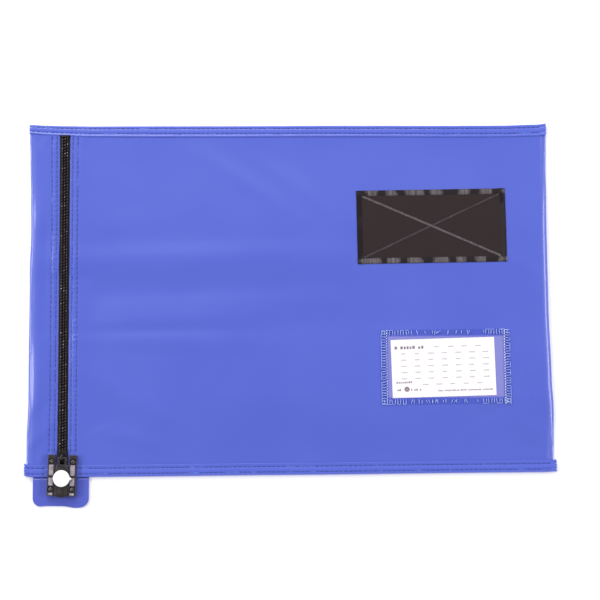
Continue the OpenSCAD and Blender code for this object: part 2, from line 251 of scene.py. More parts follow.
class Shape:
    """Points and faces of one piece, gathered part by part."""

    def __init__(self, plan: Plan, swing: Optional[Line] = None) -> None:
        """Starts with no points; swing moves them all when the piece is made."""
        self.plan = plan
        self.swing = swing
        self.points: list[np.ndarray] = []
        self.faces: list[np.ndarray] = []
        self.total = 0

    def _add(self, points: np.ndarray) -> np.ndarray:
        """Adds points and returns their numbers in the same layout."""
        flat = points.reshape(-1, 3)
        numbers = np.arange(len(flat)).reshape(points.shape[:-1]) + self.total
        self.points.append(flat)
        self.total += len(flat)
        return numbers

    def _quads(self, numbers: np.ndarray) -> None:
        """Adds the quads of a grid of point numbers."""
        corners = (numbers[:-1, :-1], numbers[:-1, 1:], numbers[1:, 1:], numbers[1:, :-1])
        self.faces.append(np.stack(corners, -1).reshape(-1, 4))

    def shell(self, outer: np.ndarray, inner: np.ndarray) -> "Shape":
        """A closed sheet between two grids of the same layout, outer facing out."""
        out, back = self._add(outer), self._add(inner)
        self._quads(out)
        self._quads(back[:, ::-1])
        for edge, under in ((out[0], back[0]), (out[-1, ::-1], back[-1, ::-1])):
            self._quads(np.stack([under, edge]))
        for edge, under in ((out[::-1, 0], back[::-1, 0]), (out[:, -1], back[:, -1])):
            self._quads(np.stack([under, edge]))
        return self

    def block(
        self,
        ys: np.ndarray,
        sides: Edges,
        columns: np.ndarray,
        top: Height,
        under: Height,
        lip: float = 0.0,
    ) -> "Shape":
        """A block between two height functions, with a rounded upper lip.

        Args:
            ys: Stations along Y.
            sides: Gives the left and right X at each Y.
            columns: Shares of the width, from 0 to 1.
            top: Height of the upper face at x and y.
            under: Height of the lower face at x and y.
            lip: Radius of the rounded upper edge.

        Returns:
            The shape itself.
        """
        left, right = (np.broadcast_to(s, ys.shape) for s in sides(ys))
        x = left[:, None] + (right - left)[:, None] * columns[None, :]
        y = np.broadcast_to(ys[:, None], x.shape)
        upper = top(x, y)
        if lip:
            reach = np.minimum.reduce(
                [x - left[:, None], right[:, None] - x, y - ys[0], ys[-1] - y]
            )
            upper = upper - roll_off(reach, lip)
        return self.shell(np.stack([x, y, upper], -1), np.stack([x, y, under(x, y)], -1))

    def lathe(
        self,
        at: Sequence[float],
        profile: Sequence[tuple[float, ...]],
        sides: int = 40,
        outline: Optional[np.ndarray] = None,
    ) -> "Shape":
        """A turned form about a vertical line.

        Args:
            at: X and Y of the line.
            profile: (radius, height) of each ring, from the top's middle outwards and down.
                A third number says how much of the outline the ring takes.
            sides: Number of steps round the line.
            outline: A factor on the radius at each step, for a form that isn't round.

        Returns:
            The shape itself.
        """
        angle = np.arange(sides) * TURN / sides
        swell = np.ones(sides) if outline is None else outline
        rings = np.array([(*ring, 1.0)[:3] for ring in profile], float)
        reach = rings[:, :1] * (1 + (swell - 1)[None, :] * rings[:, 2:])
        x = at[0] + reach * np.cos(angle)
        y = at[1] + reach * np.sin(angle)
        z = np.repeat(rings[:, 1:2], sides, axis=1)
        numbers = self._add(np.stack([x, y, z], -1))
        self._quads(np.concatenate([numbers, numbers[:, :1]], axis=1)[::-1])
        return self

    def tubes(
        self, paths: np.ndarray, radius: Union[float, np.ndarray], up: Vector, sides: int = 6
    ) -> "Shape":
        """Many tubes at once, each with closed tapering ends.

        Args:
            paths: Points of each tube, as (tubes, steps, 3).
            radius: One radius, or one for each step.
            up: A direction that no tube runs along.
            sides: Number of sides of a tube.

        Returns:
            The shape itself.
        """
        count, steps = paths.shape[:2]
        along = np.gradient(paths, axis=1)
        along /= np.maximum(np.linalg.norm(along, axis=-1, keepdims=True), 1e-9)
        side = np.cross(along, np.array(up))
        side /= np.maximum(np.linalg.norm(side, axis=-1, keepdims=True), 1e-9)
        lift = np.cross(side, along)
        radii = np.broadcast_to(radius, (steps,))[None, :, None, None]
        angle = np.arange(sides) * TURN / sides
        ring = (
            paths[:, :, None, :]
            + side[:, :, None, :] * (np.cos(angle)[None, None, :, None] * radii)
            + lift[:, :, None, :] * (np.sin(angle)[None, None, :, None] * radii)
        )
        numbers = self._add(ring)
        wrapped = np.concatenate([numbers, numbers[:, :, :1]], axis=2)
        corners = (
            wrapped[:, :-1, :-1],
            wrapped[:, 1:, :-1],
            wrapped[:, 1:, 1:],
            wrapped[:, :-1, 1:],
        )
        self.faces.append(np.stack(corners, -1).reshape(-1, 4))
        for end, turn in ((0, 1), (-1, -1)):
            self.faces.append(numbers[:, end, ::turn].reshape(count, sides))
        return self

    def threads(
        self,
        starts: np.ndarray,
        ends: np.ndarray,
        radius: float,
        rise: float,
        face: Face = Face.FRONT,
        steps: int = 7,
    ) -> "Shape":
        """Stitches: threads that come up at each start and go down at each end.

        Args:
            starts: Where each stitch comes up.
            ends: Where each stitch goes down.
            radius: Radius of the thread.
            rise: How far its middle stands over its ends.
            face: The face of the bag that it stands out of.
            steps: Number of points along a stitch.

        Returns:
            The shape itself.
        """
        share = np.linspace(0, 1, steps)
        bow = 1 - np.abs(2 * share - 1) ** 3
        paths = starts[:, None, :] + (ends - starts)[:, None, :] * share[None, :, None]
        paths[..., 2] += face.value * rise * bow[None, :]
        taper = radius * (0.55 + 0.45 * np.sqrt(np.maximum(0.0, bow)))
        return self.tubes(paths, taper, Vector((0, 0, 1)))

    def piece(
        self,
        name: str,
        finish: "Finish",
        slot: Slot,
        body: Body,
        replaces: Sequence[str] = (),
        crisp: float = 40.0,
    ) -> bpy.types.Object:
        """Makes the object, dresses it and sets it on its body.

        Args:
            name: The piece's name.
            finish: Its finish.
            slot: The record's material slot; not used.
            body: The body that it rides on.
            replaces: The frame's nodes that it stands for.
            crisp: Edges sharper than this angle, in degrees, stay crisp.

        Returns:
            The new object.
        """
        points = np.concatenate(self.points)
        if self.swing is not None:
            points = self.swing(points)
        points = (points + np.array([0.0, self.plan.middle_y, 0.0])) * MM
        faces = [list(map(int, face)) for group in self.faces for face in group]
        mesh = bpy.data.meshes.new(name)
        mesh.from_pydata(points.tolist(), [], faces)
        mesh.validate()
        mesh.shade_smooth()
        mesh.set_sharp_from_angle(angle=math.radians(crisp))
        mesh.materials.append(finish.material())
        piece = bpy.data.objects.new(name, mesh)
        bpy.context.scene.collection.objects.link(piece)
        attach(piece, body.value)
        if replaces:
            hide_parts(*replaces)
        LOG.info("%s: %d faces on %s", name, len(faces), body.value)
        return piece


# ---------------------------------------------------------------- shader helpers


class Signal:
    """A shader socket that Python's operators add Math nodes to."""

    def __init__(self, board: "Board", socket: bpy.types.NodeSocket) -> None:
        """Wraps one output socket of a board's node."""
        self.board = board
        self.socket = socket

    def _with(self, operation: str, *values: "Term") -> "Signal":
        """The result of a Math node over some values."""
        node = self.board.node(
            "ShaderNodeMath", {"operation": operation}, dict(enumerate(values))
        )
        return Signal(self.board, node.outputs[0])

    def __add__(self, other: "Term") -> "Signal":
        """This plus another."""
        return self._with("ADD", self, other)

    __radd__ = __add__

    def __sub__(self, other: "Term") -> "Signal":
        """This less another."""
        return self._with("SUBTRACT", self, other)

    def __rsub__(self, other: "Term") -> "Signal":
        """Another less this."""
        return self._with("SUBTRACT", other, self)

    def __mul__(self, other: "Term") -> "Signal":
        """This times another."""
        return self._with("MULTIPLY", self, other)

    __rmul__ = __mul__

    def sine(self) -> "Signal":
        """The sine of this, in radians."""
        return self._with("SINE", self)

    def absolute(self) -> "Signal":
        """This without its sign."""
        return self._with("ABSOLUTE", self)

    def held(self) -> "Signal":
        """This held between 0 and 1."""
        return self._with("MINIMUM", self._with("MAXIMUM", self, 0.0), 1.0)


Term = Union[Signal, float, int, tuple]


class Board:
    """The node tree of one material or of the sky, built up by expressions."""

    def __init__(self, owner: Union[bpy.types.Material, bpy.types.World]) -> None:
        """Clears the owner's tree."""
        owner.use_nodes = True
        self.tree = owner.node_tree
        self.tree.nodes.clear()

    def node(
        self, kind: str, settings: dict[str, object], inputs: dict[Union[int, str], Term]
    ) -> bpy.types.Node:
        """Adds a node.

        Args:
            kind: The node's type.
            settings: Its own settings, set first.
            inputs: Values or signals for its sockets, by name or number.

        Returns:
            The new node.
        """
        node = self.tree.nodes.new(kind)
        for key, value in settings.items():
            if key == "stops":
                self._set_stops(node.color_ramp, value)
            else:
                setattr(node, key, value)
        for key, value in inputs.items():
            if isinstance(value, Signal):
                self.tree.links.new(value.socket, node.inputs[key])
            else:
                node.inputs[key].default_value = value
        return node

    @staticmethod
    def _set_stops(ramp: bpy.types.ColorRamp, stops: Sequence[tuple[float, float]]) -> None:
        """Sets a grey ramp's (place, brightness) stops."""
        while len(ramp.elements) < len(stops):
            ramp.elements.new(0.5)
        for element, (place, grey) in zip(ramp.elements, stops):
            element.position = place
            element.color = (grey, grey, grey, 1)

    def place(self, scale: Union[float, Colour] = 1.0) -> Signal:
        """The piece's own coordinates in millimetres, times a scale."""
        own = self.node("ShaderNodeTexCoord", {}, {})
        factors = (scale,) * 3 if isinstance(scale, (int, float)) else scale
        scaled = self.node(
            "ShaderNodeVectorMath",
            {"operation": "MULTIPLY"},
            {0: Signal(self, own.outputs["Object"]), 1: tuple(f / MM for f in factors)},
        )
        return Signal(self, scaled.outputs[0])

    def axes(self) -> tuple[Signal, Signal, Signal]:
        """The piece's own X, Y and Z in millimetres."""
        apart = self.node("ShaderNodeSeparateXYZ", {}, {0: self.place()})
        return tuple(Signal(self, out) for out in apart.outputs)

    def noise(self, size: Union[float, Colour], detail: float = 2.0) -> Signal:
        """Cloudy noise from 0 to 1 whose blots are about that many millimetres."""
        scale = 1 / size if isinstance(size, (int, float)) else tuple(1 / s for s in size)
        node = self.node(
            "ShaderNodeTexNoise",
            {"noise_dimensions": "3D"},
            {"Vector": self.place(scale), "Scale": 1.0, "Detail": detail},
        )
        return Signal(self, node.outputs[0])

    def ramp(self, value: Signal, stops: Sequence[tuple[float, float]]) -> Signal:
        """A value sent through a ramp of (place, brightness) stops."""
        node = self.node("ShaderNodeValToRGB", {"stops": stops}, {0: value})
        return Signal(self, node.outputs["Color"])

    def blend(self, share: Term, first: Term, second: Term) -> Signal:
        """The first colour where share is 0 and the second where it is 1."""
        pair = [v if isinstance(v, Signal) else (*v, 1.0) for v in (first, second)]
        node = self.node(
            "ShaderNodeMix", {"data_type": "RGBA"}, {0: share, 6: pair[0], 7: pair[1]}
        )
        return Signal(self, node.outputs[2])

    def bump(self, height: Signal, depth: float) -> Signal:
        """A normal from a height of 0 to 1 over that many millimetres."""
        node = self.node(
            "ShaderNodeBump", {}, {"Height": height, "Distance": depth * MM, "Strength": 1.0}
        )
        return Signal(self, node.outputs[0])

    def surface(self, **sockets: Term) -> bpy.types.Node:
        """The Principled surface and the output, with sockets by name with _ for a space."""
        inputs = {
            key.replace("_", " "): (*value, 1.0) if isinstance(value, tuple) else value
            for key, value in sockets.items()
        }
        shader = self.node("ShaderNodeBsdfPrincipled", {}, inputs)
        self.node(
            "ShaderNodeOutputMaterial", {}, {"Surface": Signal(self, shader.outputs[0])}
        )
        return shader


@dataclass(frozen=True)
class Finish:
    """What every finish shares: a name, and a material made once."""

    name: str

    def material(self) -> bpy.types.Material:
        """The finish's material, painted the first time it is asked for."""
        made = bpy.data.materials.get(self.name)
        if made is None:
            made = bpy.data.materials.new(self.name)
            self.paint(Board(made))
        return made

    def paint(self, board: Board) -> None:
        """Adds the finish's nodes to a board."""
        raise NotImplementedError


@dataclass(frozen=True)
class CoatedCloth(Finish):
    """Woven polyester under a smooth coat of vinyl, with faint scuffs."""

    blue: Colour = (0.078, 0.117, 0.585)
    pale: Colour = (0.094, 0.136, 0.625)
    rough: float = 0.38

    def paint(self, board: Board) -> None:
        """Clouds of tone, a fine grain and the weave that shows through the coat."""
        x, y, _ = board.axes()
        clouds = board.noise(70.0, 3.0)
        grain = board.noise(0.45, 2.0)
        scuffs = board.ramp(board.noise((26.0, 3.0, 3.0), 4.0), [(0.62, 0.0), (0.78, 1.0)])
        weave = (x * (TURN / 1.1)).sine() * (y * (TURN / 1.1)).sine()
        height = grain * 0.7 + weave * 0.16 + board.noise(4.0, 2.0) * 0.5
        board.surface(
            Base_Color=board.blend(clouds, self.blue, self.pale),
            Roughness=self.rough + clouds * 0.10 + grain * 0.06 + scuffs * 0.05,
            Coat_Weight=0.55,
            Coat_Roughness=0.14,
            Normal=board.bump(height, 0.03),
        )


@dataclass(frozen=True)
class Thread(Finish):
    """Twisted sewing thread."""

    deep: Colour = (0.026, 0.050, 0.30)
    bright: Colour = (0.15, 0.30, 0.82)
    gloss: float = 0.45
    twist: float = 0.8
    patches: float = 9.0

    def paint(self, board: Board) -> None:
        """The twist's slanting plies, and a painted sheen: stretches painted lighter where the thread would
        catch the light.
        """
        x, y, z = board.axes()
        plies = ((x + y + z * 0.6) * (TURN / self.twist)).sine() * 0.5 + 0.5
        # Painted sheen: noise patches pull the thread's colour toward its bright colour.
        light = board.ramp(board.noise(self.patches, 2.0), [(0.56, 0.0), (0.74, 1.0)])
        board.surface(
            Base_Color=board.blend((plies * 0.2 + light * 0.8).held(), self.deep, self.bright),
            Roughness=self.gloss + plies * 0.15,
            Normal=board.bump(plies, 0.06),
        )


@dataclass(frozen=True)
class SatinThread(Finish):
    """Dark thread laid side by side, paler where it turns to the light."""

    deep: Colour = (0.014, 0.009, 0.011)
    bright: Colour = (0.21, 0.185, 0.20)
    stretch: float = 21.0
    stops: tuple[tuple[float, float], ...] = ((0.22, 0.0), (0.62, 1.0))
    strength: float = 0.9
    least: float = 0.03

    def paint(self, board: Board) -> None:
        """Painted sheen in stretches of paler thread, and a difference from thread to thread."""
        x, _, _ = board.axes()
        wander = board.noise(30.0, 2.0) * 9.0
        sheen_stretches = board.ramp(
            (x * (TURN / self.stretch) + wander).sine() * 0.5 + 0.5,
            self.stops,
        )
        strands = board.noise((0.9, 40.0, 5.0), 1.0)
        # Painted sheen: the level pulls the dark thread toward its bright colour.
        level = (sheen_stretches * self.strength * (strands * 2.4 - 0.5).held() + self.least).held()
        board.surface(
            Base_Color=board.blend(level, self.deep, self.bright),
            Roughness=0.7,
            Specular_IOR_Level=0.25,
            Normal=board.bump(strands, 0.05),
        )


@dataclass(frozen=True)
class PatchCloth(Finish):
    """Dark matt coated cloth that takes marker ink."""

    dark: Colour = (0.021, 0.011, 0.013)
    light: Colour = (0.028, 0.017, 0.019)

    def paint(self, board: Board) -> None:
        """A close plain weave under a matt coat."""
        x, y, _ = board.axes()
        weave = (x * (TURN / 0.9)).sine() * (y * (TURN / 0.9)).sine()
        clouds = board.noise(18.0, 3.0)
        board.surface(
            Base_Color=board.blend(clouds, self.dark, self.light),
            Roughness=0.78 + clouds * 0.12,
            Specular_IOR_Level=0.3,
            Normal=board.bump(weave * 0.5 + board.noise(0.5) * 0.5, 0.05),
        )


@dataclass(frozen=True)
class Plastic(Finish):
    """Moulded plastic with a fine spark grain and handling marks."""

    dark: Colour = (0.026, 0.019, 0.021)
    light: Colour = (0.045, 0.037, 0.040)
    rough: float = 0.34
    depth: float = 0.02
    shine: float = 0.5

    def paint(self, board: Board) -> None:
        """Mould grain, and dull marks where it is handled."""
        marks = board.ramp(board.noise(5.0, 4.0), [(0.45, 0.0), (0.7, 1.0)])
        grain = board.noise(0.35, 2.0)
        board.surface(
            Base_Color=board.blend(marks, self.dark, self.light),
            Roughness=self.rough + marks * 0.14 + grain * 0.05,
            Specular_IOR_Level=self.shine,
            Normal=board.bump(grain, self.depth),
        )


@dataclass(frozen=True)
class WornAndHighlitPlastic(Plastic):
    """Moulded plastic whose raised faces are paler and glossy: rubbed wear and a painted highlight."""

    rubbed: Colour = (0.44, 0.39, 0.46)
    level: float = 8.0

    def paint(self, board: Board) -> None:
        """The mould grain, and tops above a height painted paler for rubbed wear and a painted highlight.
        """
        _, _, z = board.axes()
        # Tops above the height: partly rubbed wear, partly a painted highlight where light catches them.
        wear_and_highlight_mask = ((z - self.level) * 5.0).held() * (board.noise(3.5, 3.0) * 1.6 - 0.1)
        grain = board.noise(0.35, 2.0)
        plain = board.blend(board.noise(5.0, 4.0), self.dark, self.light)
        board.surface(
            Base_Color=board.blend(wear_and_highlight_mask.held(), plain, self.rubbed),
            Roughness=self.rough + grain * 0.08,
            Normal=board.bump(grain, self.depth),
        )


@dataclass(frozen=True)
class TapeCloth(Finish):
    """Woven polyester zip tape, with its ribs running along the zip."""

    dark: Colour = (0.012, 0.009, 0.010)
    light: Colour = (0.040, 0.034, 0.036)

    def paint(self, board: Board) -> None:
        """Chevrons of the twill over the tape's ribs."""
        x, y, _ = board.axes()
        ribs = (x * (TURN / 0.9)).sine() * 0.5 + 0.5
        twill = ((y + (x * (TURN / 3.6)).sine() * 0.9) * (TURN / 1.1)).sine() * 0.5 + 0.5
        yarns = ribs * 0.4 + twill * 0.6
        board.surface(
            Base_Color=board.blend(yarns * board.noise(1.2), self.dark, self.light),
            Roughness=0.7,
            Normal=board.bump(yarns, 0.12),
        )


@dataclass(frozen=True)
class Metal(Finish):
    """Plated metal, brushed by wear."""

    tone: Colour = (0.42, 0.41, 0.43)
    rough: float = 0.32

    def paint(self, board: Board) -> None:
        """Fine wear marks over an even tone."""
        wear = board.noise(0.8, 4.0)
        board.surface(
            Base_Color=board.blend(wear, tuple(c * 0.75 for c in self.tone), self.tone),
            Metallic=1.0,
            Roughness=self.rough + wear * 0.2,
            Normal=board.bump(wear, 0.01),
        )


@dataclass(frozen=True)
class ClearVinyl(Finish):
    """Clear flexible vinyl with a slight bloom."""

    bloom: Colour = (1.0, 0.88, 0.98)
    edge: Colour = (0.10, 0.15, 0.66)
    cover: float = 0.09
    edge_cover: float = 0.14
    middle: tuple[float, float] = (0.0, 0.0)
    half: tuple[float, float] = (54.0, 29.0)

    def paint(self, board: Board) -> None:
        """A film that is hazy inside its border and clear where it is pressed down."""
        x, y, _ = board.axes()
        across = ((self.half[0] - (x - self.middle[0]).absolute()) * 0.5).held()
        along = ((self.half[1] - (y - self.middle[1]).absolute()) * 0.5).held()
        haze = across * along * (0.8 + board.noise(22.0, 3.0) * 0.4)
        board.surface(
            Base_Color=board.blend((across * along).held(), self.edge, self.bloom),
            Roughness=0.22 + haze * 0.12,
            Specular_IOR_Level=0.25,
            Alpha=haze * self.cover + (1 - across * along) * self.edge_cover,
            Normal=board.bump(board.noise(6.0, 3.0), 0.05),
        )


@dataclass(frozen=True)
class Paper(Finish):
    """White card with a faint tooth."""

    white: Colour = (0.97, 0.97, 0.98)

    def paint(self, board: Board) -> None:
        """Paper fibres, barely to be seen."""
        fibres = board.noise((0.8, 0.25, 0.5), 3.0)
        board.surface(
            Base_Color=board.blend(fibres, tuple(c * 0.97 for c in self.white), self.white),
            Roughness=0.72,
            Normal=board.bump(fibres, 0.01),
        )


@dataclass(frozen=True)
class FloorPaint(Finish):
    """A pale floor that gives back nearly all the light."""

    white: Colour = (1.0, 1.0, 1.0)
    dull: Colour = (0.98, 0.97, 0.98)
    own_light: float = 0.15

    def paint(self, board: Board) -> None:
        """An even white, very slightly clouded."""
        board.surface(
            Base_Color=board.blend(board.noise(200.0), self.dull, self.white),
            Roughness=0.9,
            Specular_IOR_Level=0.0,
            Emission_Color=self.white,
            Emission_Strength=self.own_light,
        )


SHEET_BLUE = CoatedCloth("sheet_blue")
BINDING_BLUE = CoatedCloth("binding_blue", blue=(0.088, 0.130, 0.63), pale=(0.103, 0.147, 0.67))
TAB_BLUE = CoatedCloth("tab_blue", blue=(0.075, 0.104, 0.53), pale=(0.088, 0.120, 0.58))
# Sewing thread: its deep navy is the thread's own colour, kept dark to carry painted shade of the stitch
# holes; its lighter stretches are painted sheen.
SEWING_BLUE = Thread("sewing_blue")
SATIN_DARK = SatinThread("satin_dark")
# Lit and shaded copies of one satin thread: the side borders get a painted shade, nearly without the
# painted sheen.
SATIN_SIDE_SHADED = SatinThread("satin_edge", bright=(0.040, 0.032, 0.034))
ALL_PALE = ((0.0, 1.0), (1.0, 1.0))
# The crossed bars: one painted lit all along, the other a painted shaded copy of it.
SATIN_BAR_LIT = SatinThread(
    "satin_bar", bright=(0.19, 0.165, 0.18), stops=ALL_PALE, least=0.4, strength=0.6
)
SATIN_BAR_SHADED = SatinThread(
    "satin_bar_dim", bright=(0.10, 0.085, 0.095), stops=ALL_PALE, least=0.35, strength=0.5
)
# Clear thread whose near-white patches are painted glints.
CLEAR_SEWING = Thread(
    "clear_sewing", deep=(0.26, 0.36, 0.90), bright=(0.80, 0.86, 1.0), gloss=0.2, patches=2.0
)
PATCH_DARK = PatchCloth("patch_dark")
LOCK_BROWN = Plastic("lock_brown")
CHAMBER_BROWN = WornAndHighlitPlastic("chamber_brown")
# White knots painted as glints at the needle holes of the window's side borders.
KNOT_GLINT = Thread("knot_white", deep=(0.92, 0.94, 1.0), bright=(1.0, 1.0, 1.0), gloss=0.2)
ZIP_BLACK = Plastic("zip_black", dark=(0.012, 0.010, 0.011), light=(0.03, 0.026, 0.028), rough=0.3)
COIL_BLACK = Plastic(
    "coil_black", dark=(0.013, 0.007, 0.010), light=(0.022, 0.014, 0.018), rough=0.6, shine=0.12
)
# The coils' sewing thread: its pale flecks are painted glints on dark thread.
COIL_THREAD_GLINTS = Thread(
    "coil_thread", deep=(0.016, 0.012, 0.012), bright=(0.60, 0.57, 0.55), gloss=0.6, patches=3.0
)
TAPE_BLACK = TapeCloth("tape_black")
RIVET_DARK = Metal("rivet_dark", tone=(0.24, 0.22, 0.23), rough=0.22)
PLATED = Metal("plated")
SEAL_WHITE = Plastic("seal_white", dark=(0.93, 0.93, 0.93), light=(0.90, 0.90, 0.90), rough=0.38)
PANE_CLEAR = ClearVinyl("pane_clear")
CARD_WHITE = Paper("card_white")
RULE_GREY = Paper("rule_grey", white=(0.52, 0.50, 0.52))
MARK_BROWN = Paper("mark_brown", white=(0.13, 0.09, 0.11))
FLOOR_WHITE = FloorPaint("floor_white")


# ---------------------------------------------------------------- the bag


@dataclass(frozen=True)
class Crease:
    """A soft ridge or hollow in the sheet."""

    x: float
    y: float
    length: float
    width: float
    height: float
    turn: float = 0.0

    def lift(self, x: np.ndarray, y: np.ndarray) -> np.ndarray:
        """How far it lifts the sheet at x and y."""
        c, s = math.cos(math.radians(self.turn)), math.sin(math.radians(self.turn))
        dx, dy = x - self.x, y - self.y
        return self.height * hump(dx * c + dy * s, self.length) * hump(dy * c - dx * s, self.width)


@dataclass
class Settle:
    """How the real bag strays from straight lines as it lies."""

    plan: Plan
    top_edge: Line = soft_line(
        [
            (-242, 3.2), (-225, 2.3), (-208, 1.7), (-180, 1.2),
            (0, 0.4), (200, -0.8), (232, -0.1), (242, 0.9),
        ]
    )
    bottom_edge: Line = soft_line(
        [(-244, 1.1), (-237, -0.2), (-180, -0.4), (0, 0.2), (200, 1.0), (232, 1.1), (244, 1.6)]
    )
    left_edge: Line = soft_line(
        [
            (-162, -1.0), (-129, -1.0), (-95, 0.2), (27, 0.3), (60, 1.2),
            (94, 0.7), (130, -0.2), (150, -0.8), (163, -0.4),
        ]
    )
    right_edge: Line = soft_line(
        [
            (-162, 0.6), (-132, 1.7), (-105, 2.2), (-77, 1.0), (-10, -0.4),
            (60, -0.5), (110, 0.0), (150, 0.9), (162, 1.1),
        ]
    )

    sides_from: float = 205.0

    def moved(self, points: np.ndarray, sides: float = 1.0) -> np.ndarray:
        """Points moved as the hems and the side folds stray.

        Args:
            points: Points of the straight bag.
            sides: How much of the side folds' straying they take, from 0 to 1.

        Returns:
            The moved points.
        """
        x, y = points[..., 0], points[..., 1]
        up = np.clip((y + self.plan.half_h) / (2 * self.plan.half_h), 0, 1)
        left = np.clip((-x - self.sides_from) / (self.plan.half_w - self.sides_from), 0, 1)
        right = np.clip((x - self.sides_from) / (self.plan.half_w - self.sides_from), 0, 1)
        out = np.array(points, float)
        out[..., 1] += up * self.top_edge(x) + (1 - up) * self.bottom_edge(x)
        out[..., 0] += sides * (left * self.left_edge(y) + right * self.right_edge(y))
        return out


@dataclass
class BodySheet:
    """The bag's one sheet: under at the zip, over the front, round the back and up again."""

    plan: Plan
    settle: Settle
    thickness: float = 0.4
    slope: float = 62.0
    top_slope: float = 92.0
    rise_w: float = 150.0
    sewn: float = 17.0
    lip_in: float = 0.2
    turned_in: float = 14.0
    lip_r: float = 0.45
    right_roll: float = 3.5
    left_roll: float = 3.0
    shoulder: float = 3.8
    shoulder_r: float = 12.0
    roll_from: float = 0.6
    left_crown: float = 0.9
    row_step: float = 1.5
    stitch_rows: tuple[float, float] = (7.4, 12.0)
    stitch_pitch: float = 4.5
    creases: tuple[Crease, ...] = (
        Crease(-95, 38, 150, 13, 1.9, 1),
        Crease(-100, 8, 140, 12, -1.7, 1.5),
        Crease(-110, -18, 90, 6, 0.35, 2),
        Crease(-120, -29, 90, 5, -0.5, 0),
        Crease(-120, -40, 90, 8, 0.6, -2),
        Crease(-228, -72, 9, 34, 2.0, 0),
        Crease(-229, 74, 8, 28, 1.3, 0),
        Crease(-45, 112, 50, 8, 0.8, -35),
        Crease(5, 106, 45, 8, 0.8, -40),
        Crease(-150, -90, 60, 10, 0.8, -30),
        Crease(-205, -128, 30, 5, -0.9, 24),
        Crease(-150, -126, 34, 7, 0.8, -14),
        Crease(-165, 112, 60, 14, 0.35, -20),
        Crease(190, -100, 40, 10, -0.9, 30),
        Crease(-150, 70, 40, 12, 0.5, 10),
        Crease(20, -20, 120, 16, -0.5, -3),
        Crease(90, -128, 5, 26, 0.7, 4),
        Crease(118, -132, 5, 22, 0.6, -3),
        Crease(60, -136, 6, 18, 0.5, 0),
        Crease(215, -120, 26, 9, 0.8, -38),
        Crease(214, 30, 22, 5, 0.5, -35),
        Crease(-222, -118, 26, 5, 0.6, 48),
        Crease(-226, -100, 22, 4, -0.5, 55),
        Crease(-228, 55, 5, 16, -0.8, 12),
        Crease(222, 60, 6, 40, 0.4, 0),
    )

    def puff(self, y: np.ndarray) -> np.ndarray:
        """How far the bag is open between its hems, from 0 to 1."""
        slope = np.where(y > 0, self.top_slope, self.slope)
        return eased((self.plan.hem_in - np.abs(y)) / slope)

    def relief(self, x: np.ndarray, y: np.ndarray) -> np.ndarray:
        """Creases, and the gathers that the hem's stitches pull in."""
        lift = sum(crease.lift(x, y) for crease in self.creases)
        # Hollows fade out over the doubled sheet beside the zip.
        lift = np.maximum(lift, lift * eased((np.abs(x - self.plan.zip_x) - 20) / 16))
        edge = np.clip(self.plan.hem_in - np.abs(y), 0, None)
        gathers = 0.16 * np.sin(x * TURN / 13.0 + 2.1 * np.sin(x / 31.0)) * hump(edge - 5, 7.0)
        return (lift * eased(edge / 14) + gathers) * eased(edge / 4) * (1 - self.trimmed(x, y))

    def trimmed(self, x: np.ndarray, y: np.ndarray) -> np.ndarray:
        """How far the trim sewn on the front holds it flat.

        Args:
            x: Places along X.
            y: Places along Y.

        Returns:
            A share from 0 to 1 at each place.
        """
        held = np.zeros_like(x + y)
        for node in ("writing_patch", "window_sheet"):
            low, high = self.plan.box(node)
            sides = np.broadcast_arrays(x - low[0], high[0] - x, y - low[1], high[1] - y)
            inside = np.minimum.reduce(sides)
            held = np.maximum(held, eased((inside + 7) / 8))
        return held

    def sewing(self, x: np.ndarray, y: np.ndarray) -> np.ndarray:
        """The grooves and puckers of the rows of stitches beside the zip.

        Args:
            x: Places along X.
            y: Places along Y.

        Returns:
            How far they lift the sheet at each place.
        """
        away = np.abs(x - self.plan.zip_x)
        phase = y / self.stitch_pitch
        stitch = np.floor(phase)
        uneven = uneven_share(stitch * 12.9898 + np.sign(x - self.plan.zip_x) * 4.7)
        pull = np.cos((phase - stitch - 0.5) * TURN) * 0.5 + 0.5
        groove = sum(hump(away - row, 0.9) for row in self.stitch_rows)
        between = hump(away - sum(self.stitch_rows) / 2, 2.4)
        calm = eased((self.plan.hem_in - np.abs(y)) / 8)
        drawn = np.where(x < self.plan.zip_x, hump(y - 62, 52.0), hump(y + 48, 45.0))
        stronger = 1 + 1.7 * drawn
        return calm * (between * pull * (0.16 + 0.42 * uneven) * stronger - 0.30 * groove)

    def front(self, x: np.ndarray, y: np.ndarray) -> np.ndarray:
        """Height of the front's face, on both sides of the zip.

        Args:
            x: Places along X.
            y: Places along Y.

        Returns:
            The height at each place.
        """
        plan = self.plan
        away = x - plan.zip_x
        rise = (plan.loft - plan.front_z) * eased((away - self.sewn) / self.rise_w)
        crown = self.left_crown * eased((-away - self.sewn) / 7.0)
        doubled = 2 * self.lip_r - (plan.front_z - plan.coil_z)
        fold = doubled * eased((plan.slot_half + self.turned_in + 5 - np.abs(away)) / 9.0)
        level = plan.front_z + self.puff(y) * (rise + crown)
        reach = np.where(x > 0, self.right_roll, self.left_roll) + self.shoulder
        into = np.clip(np.abs(x) - plan.half_w + reach, 0, None)
        drop = into * into / (2 * self.shoulder_r)
        return level + fold + self.relief(x, y) + self.sewing(x, y) - drop

    def back(self, x: np.ndarray, y: np.ndarray) -> np.ndarray:
        """Height of the back's face, which steps up inside the hems."""
        step = 0.6 * eased((np.abs(y) - self.plan.hem_in + 0.6) / 0.8)
        tab_low, tab_high = self.plan.box("lock_tab")
        over = (x > tab_low[0] - 1) & (x < tab_high[0] + 1) & (y < 0)
        return step * (1 + over * 0.8 / 0.6)

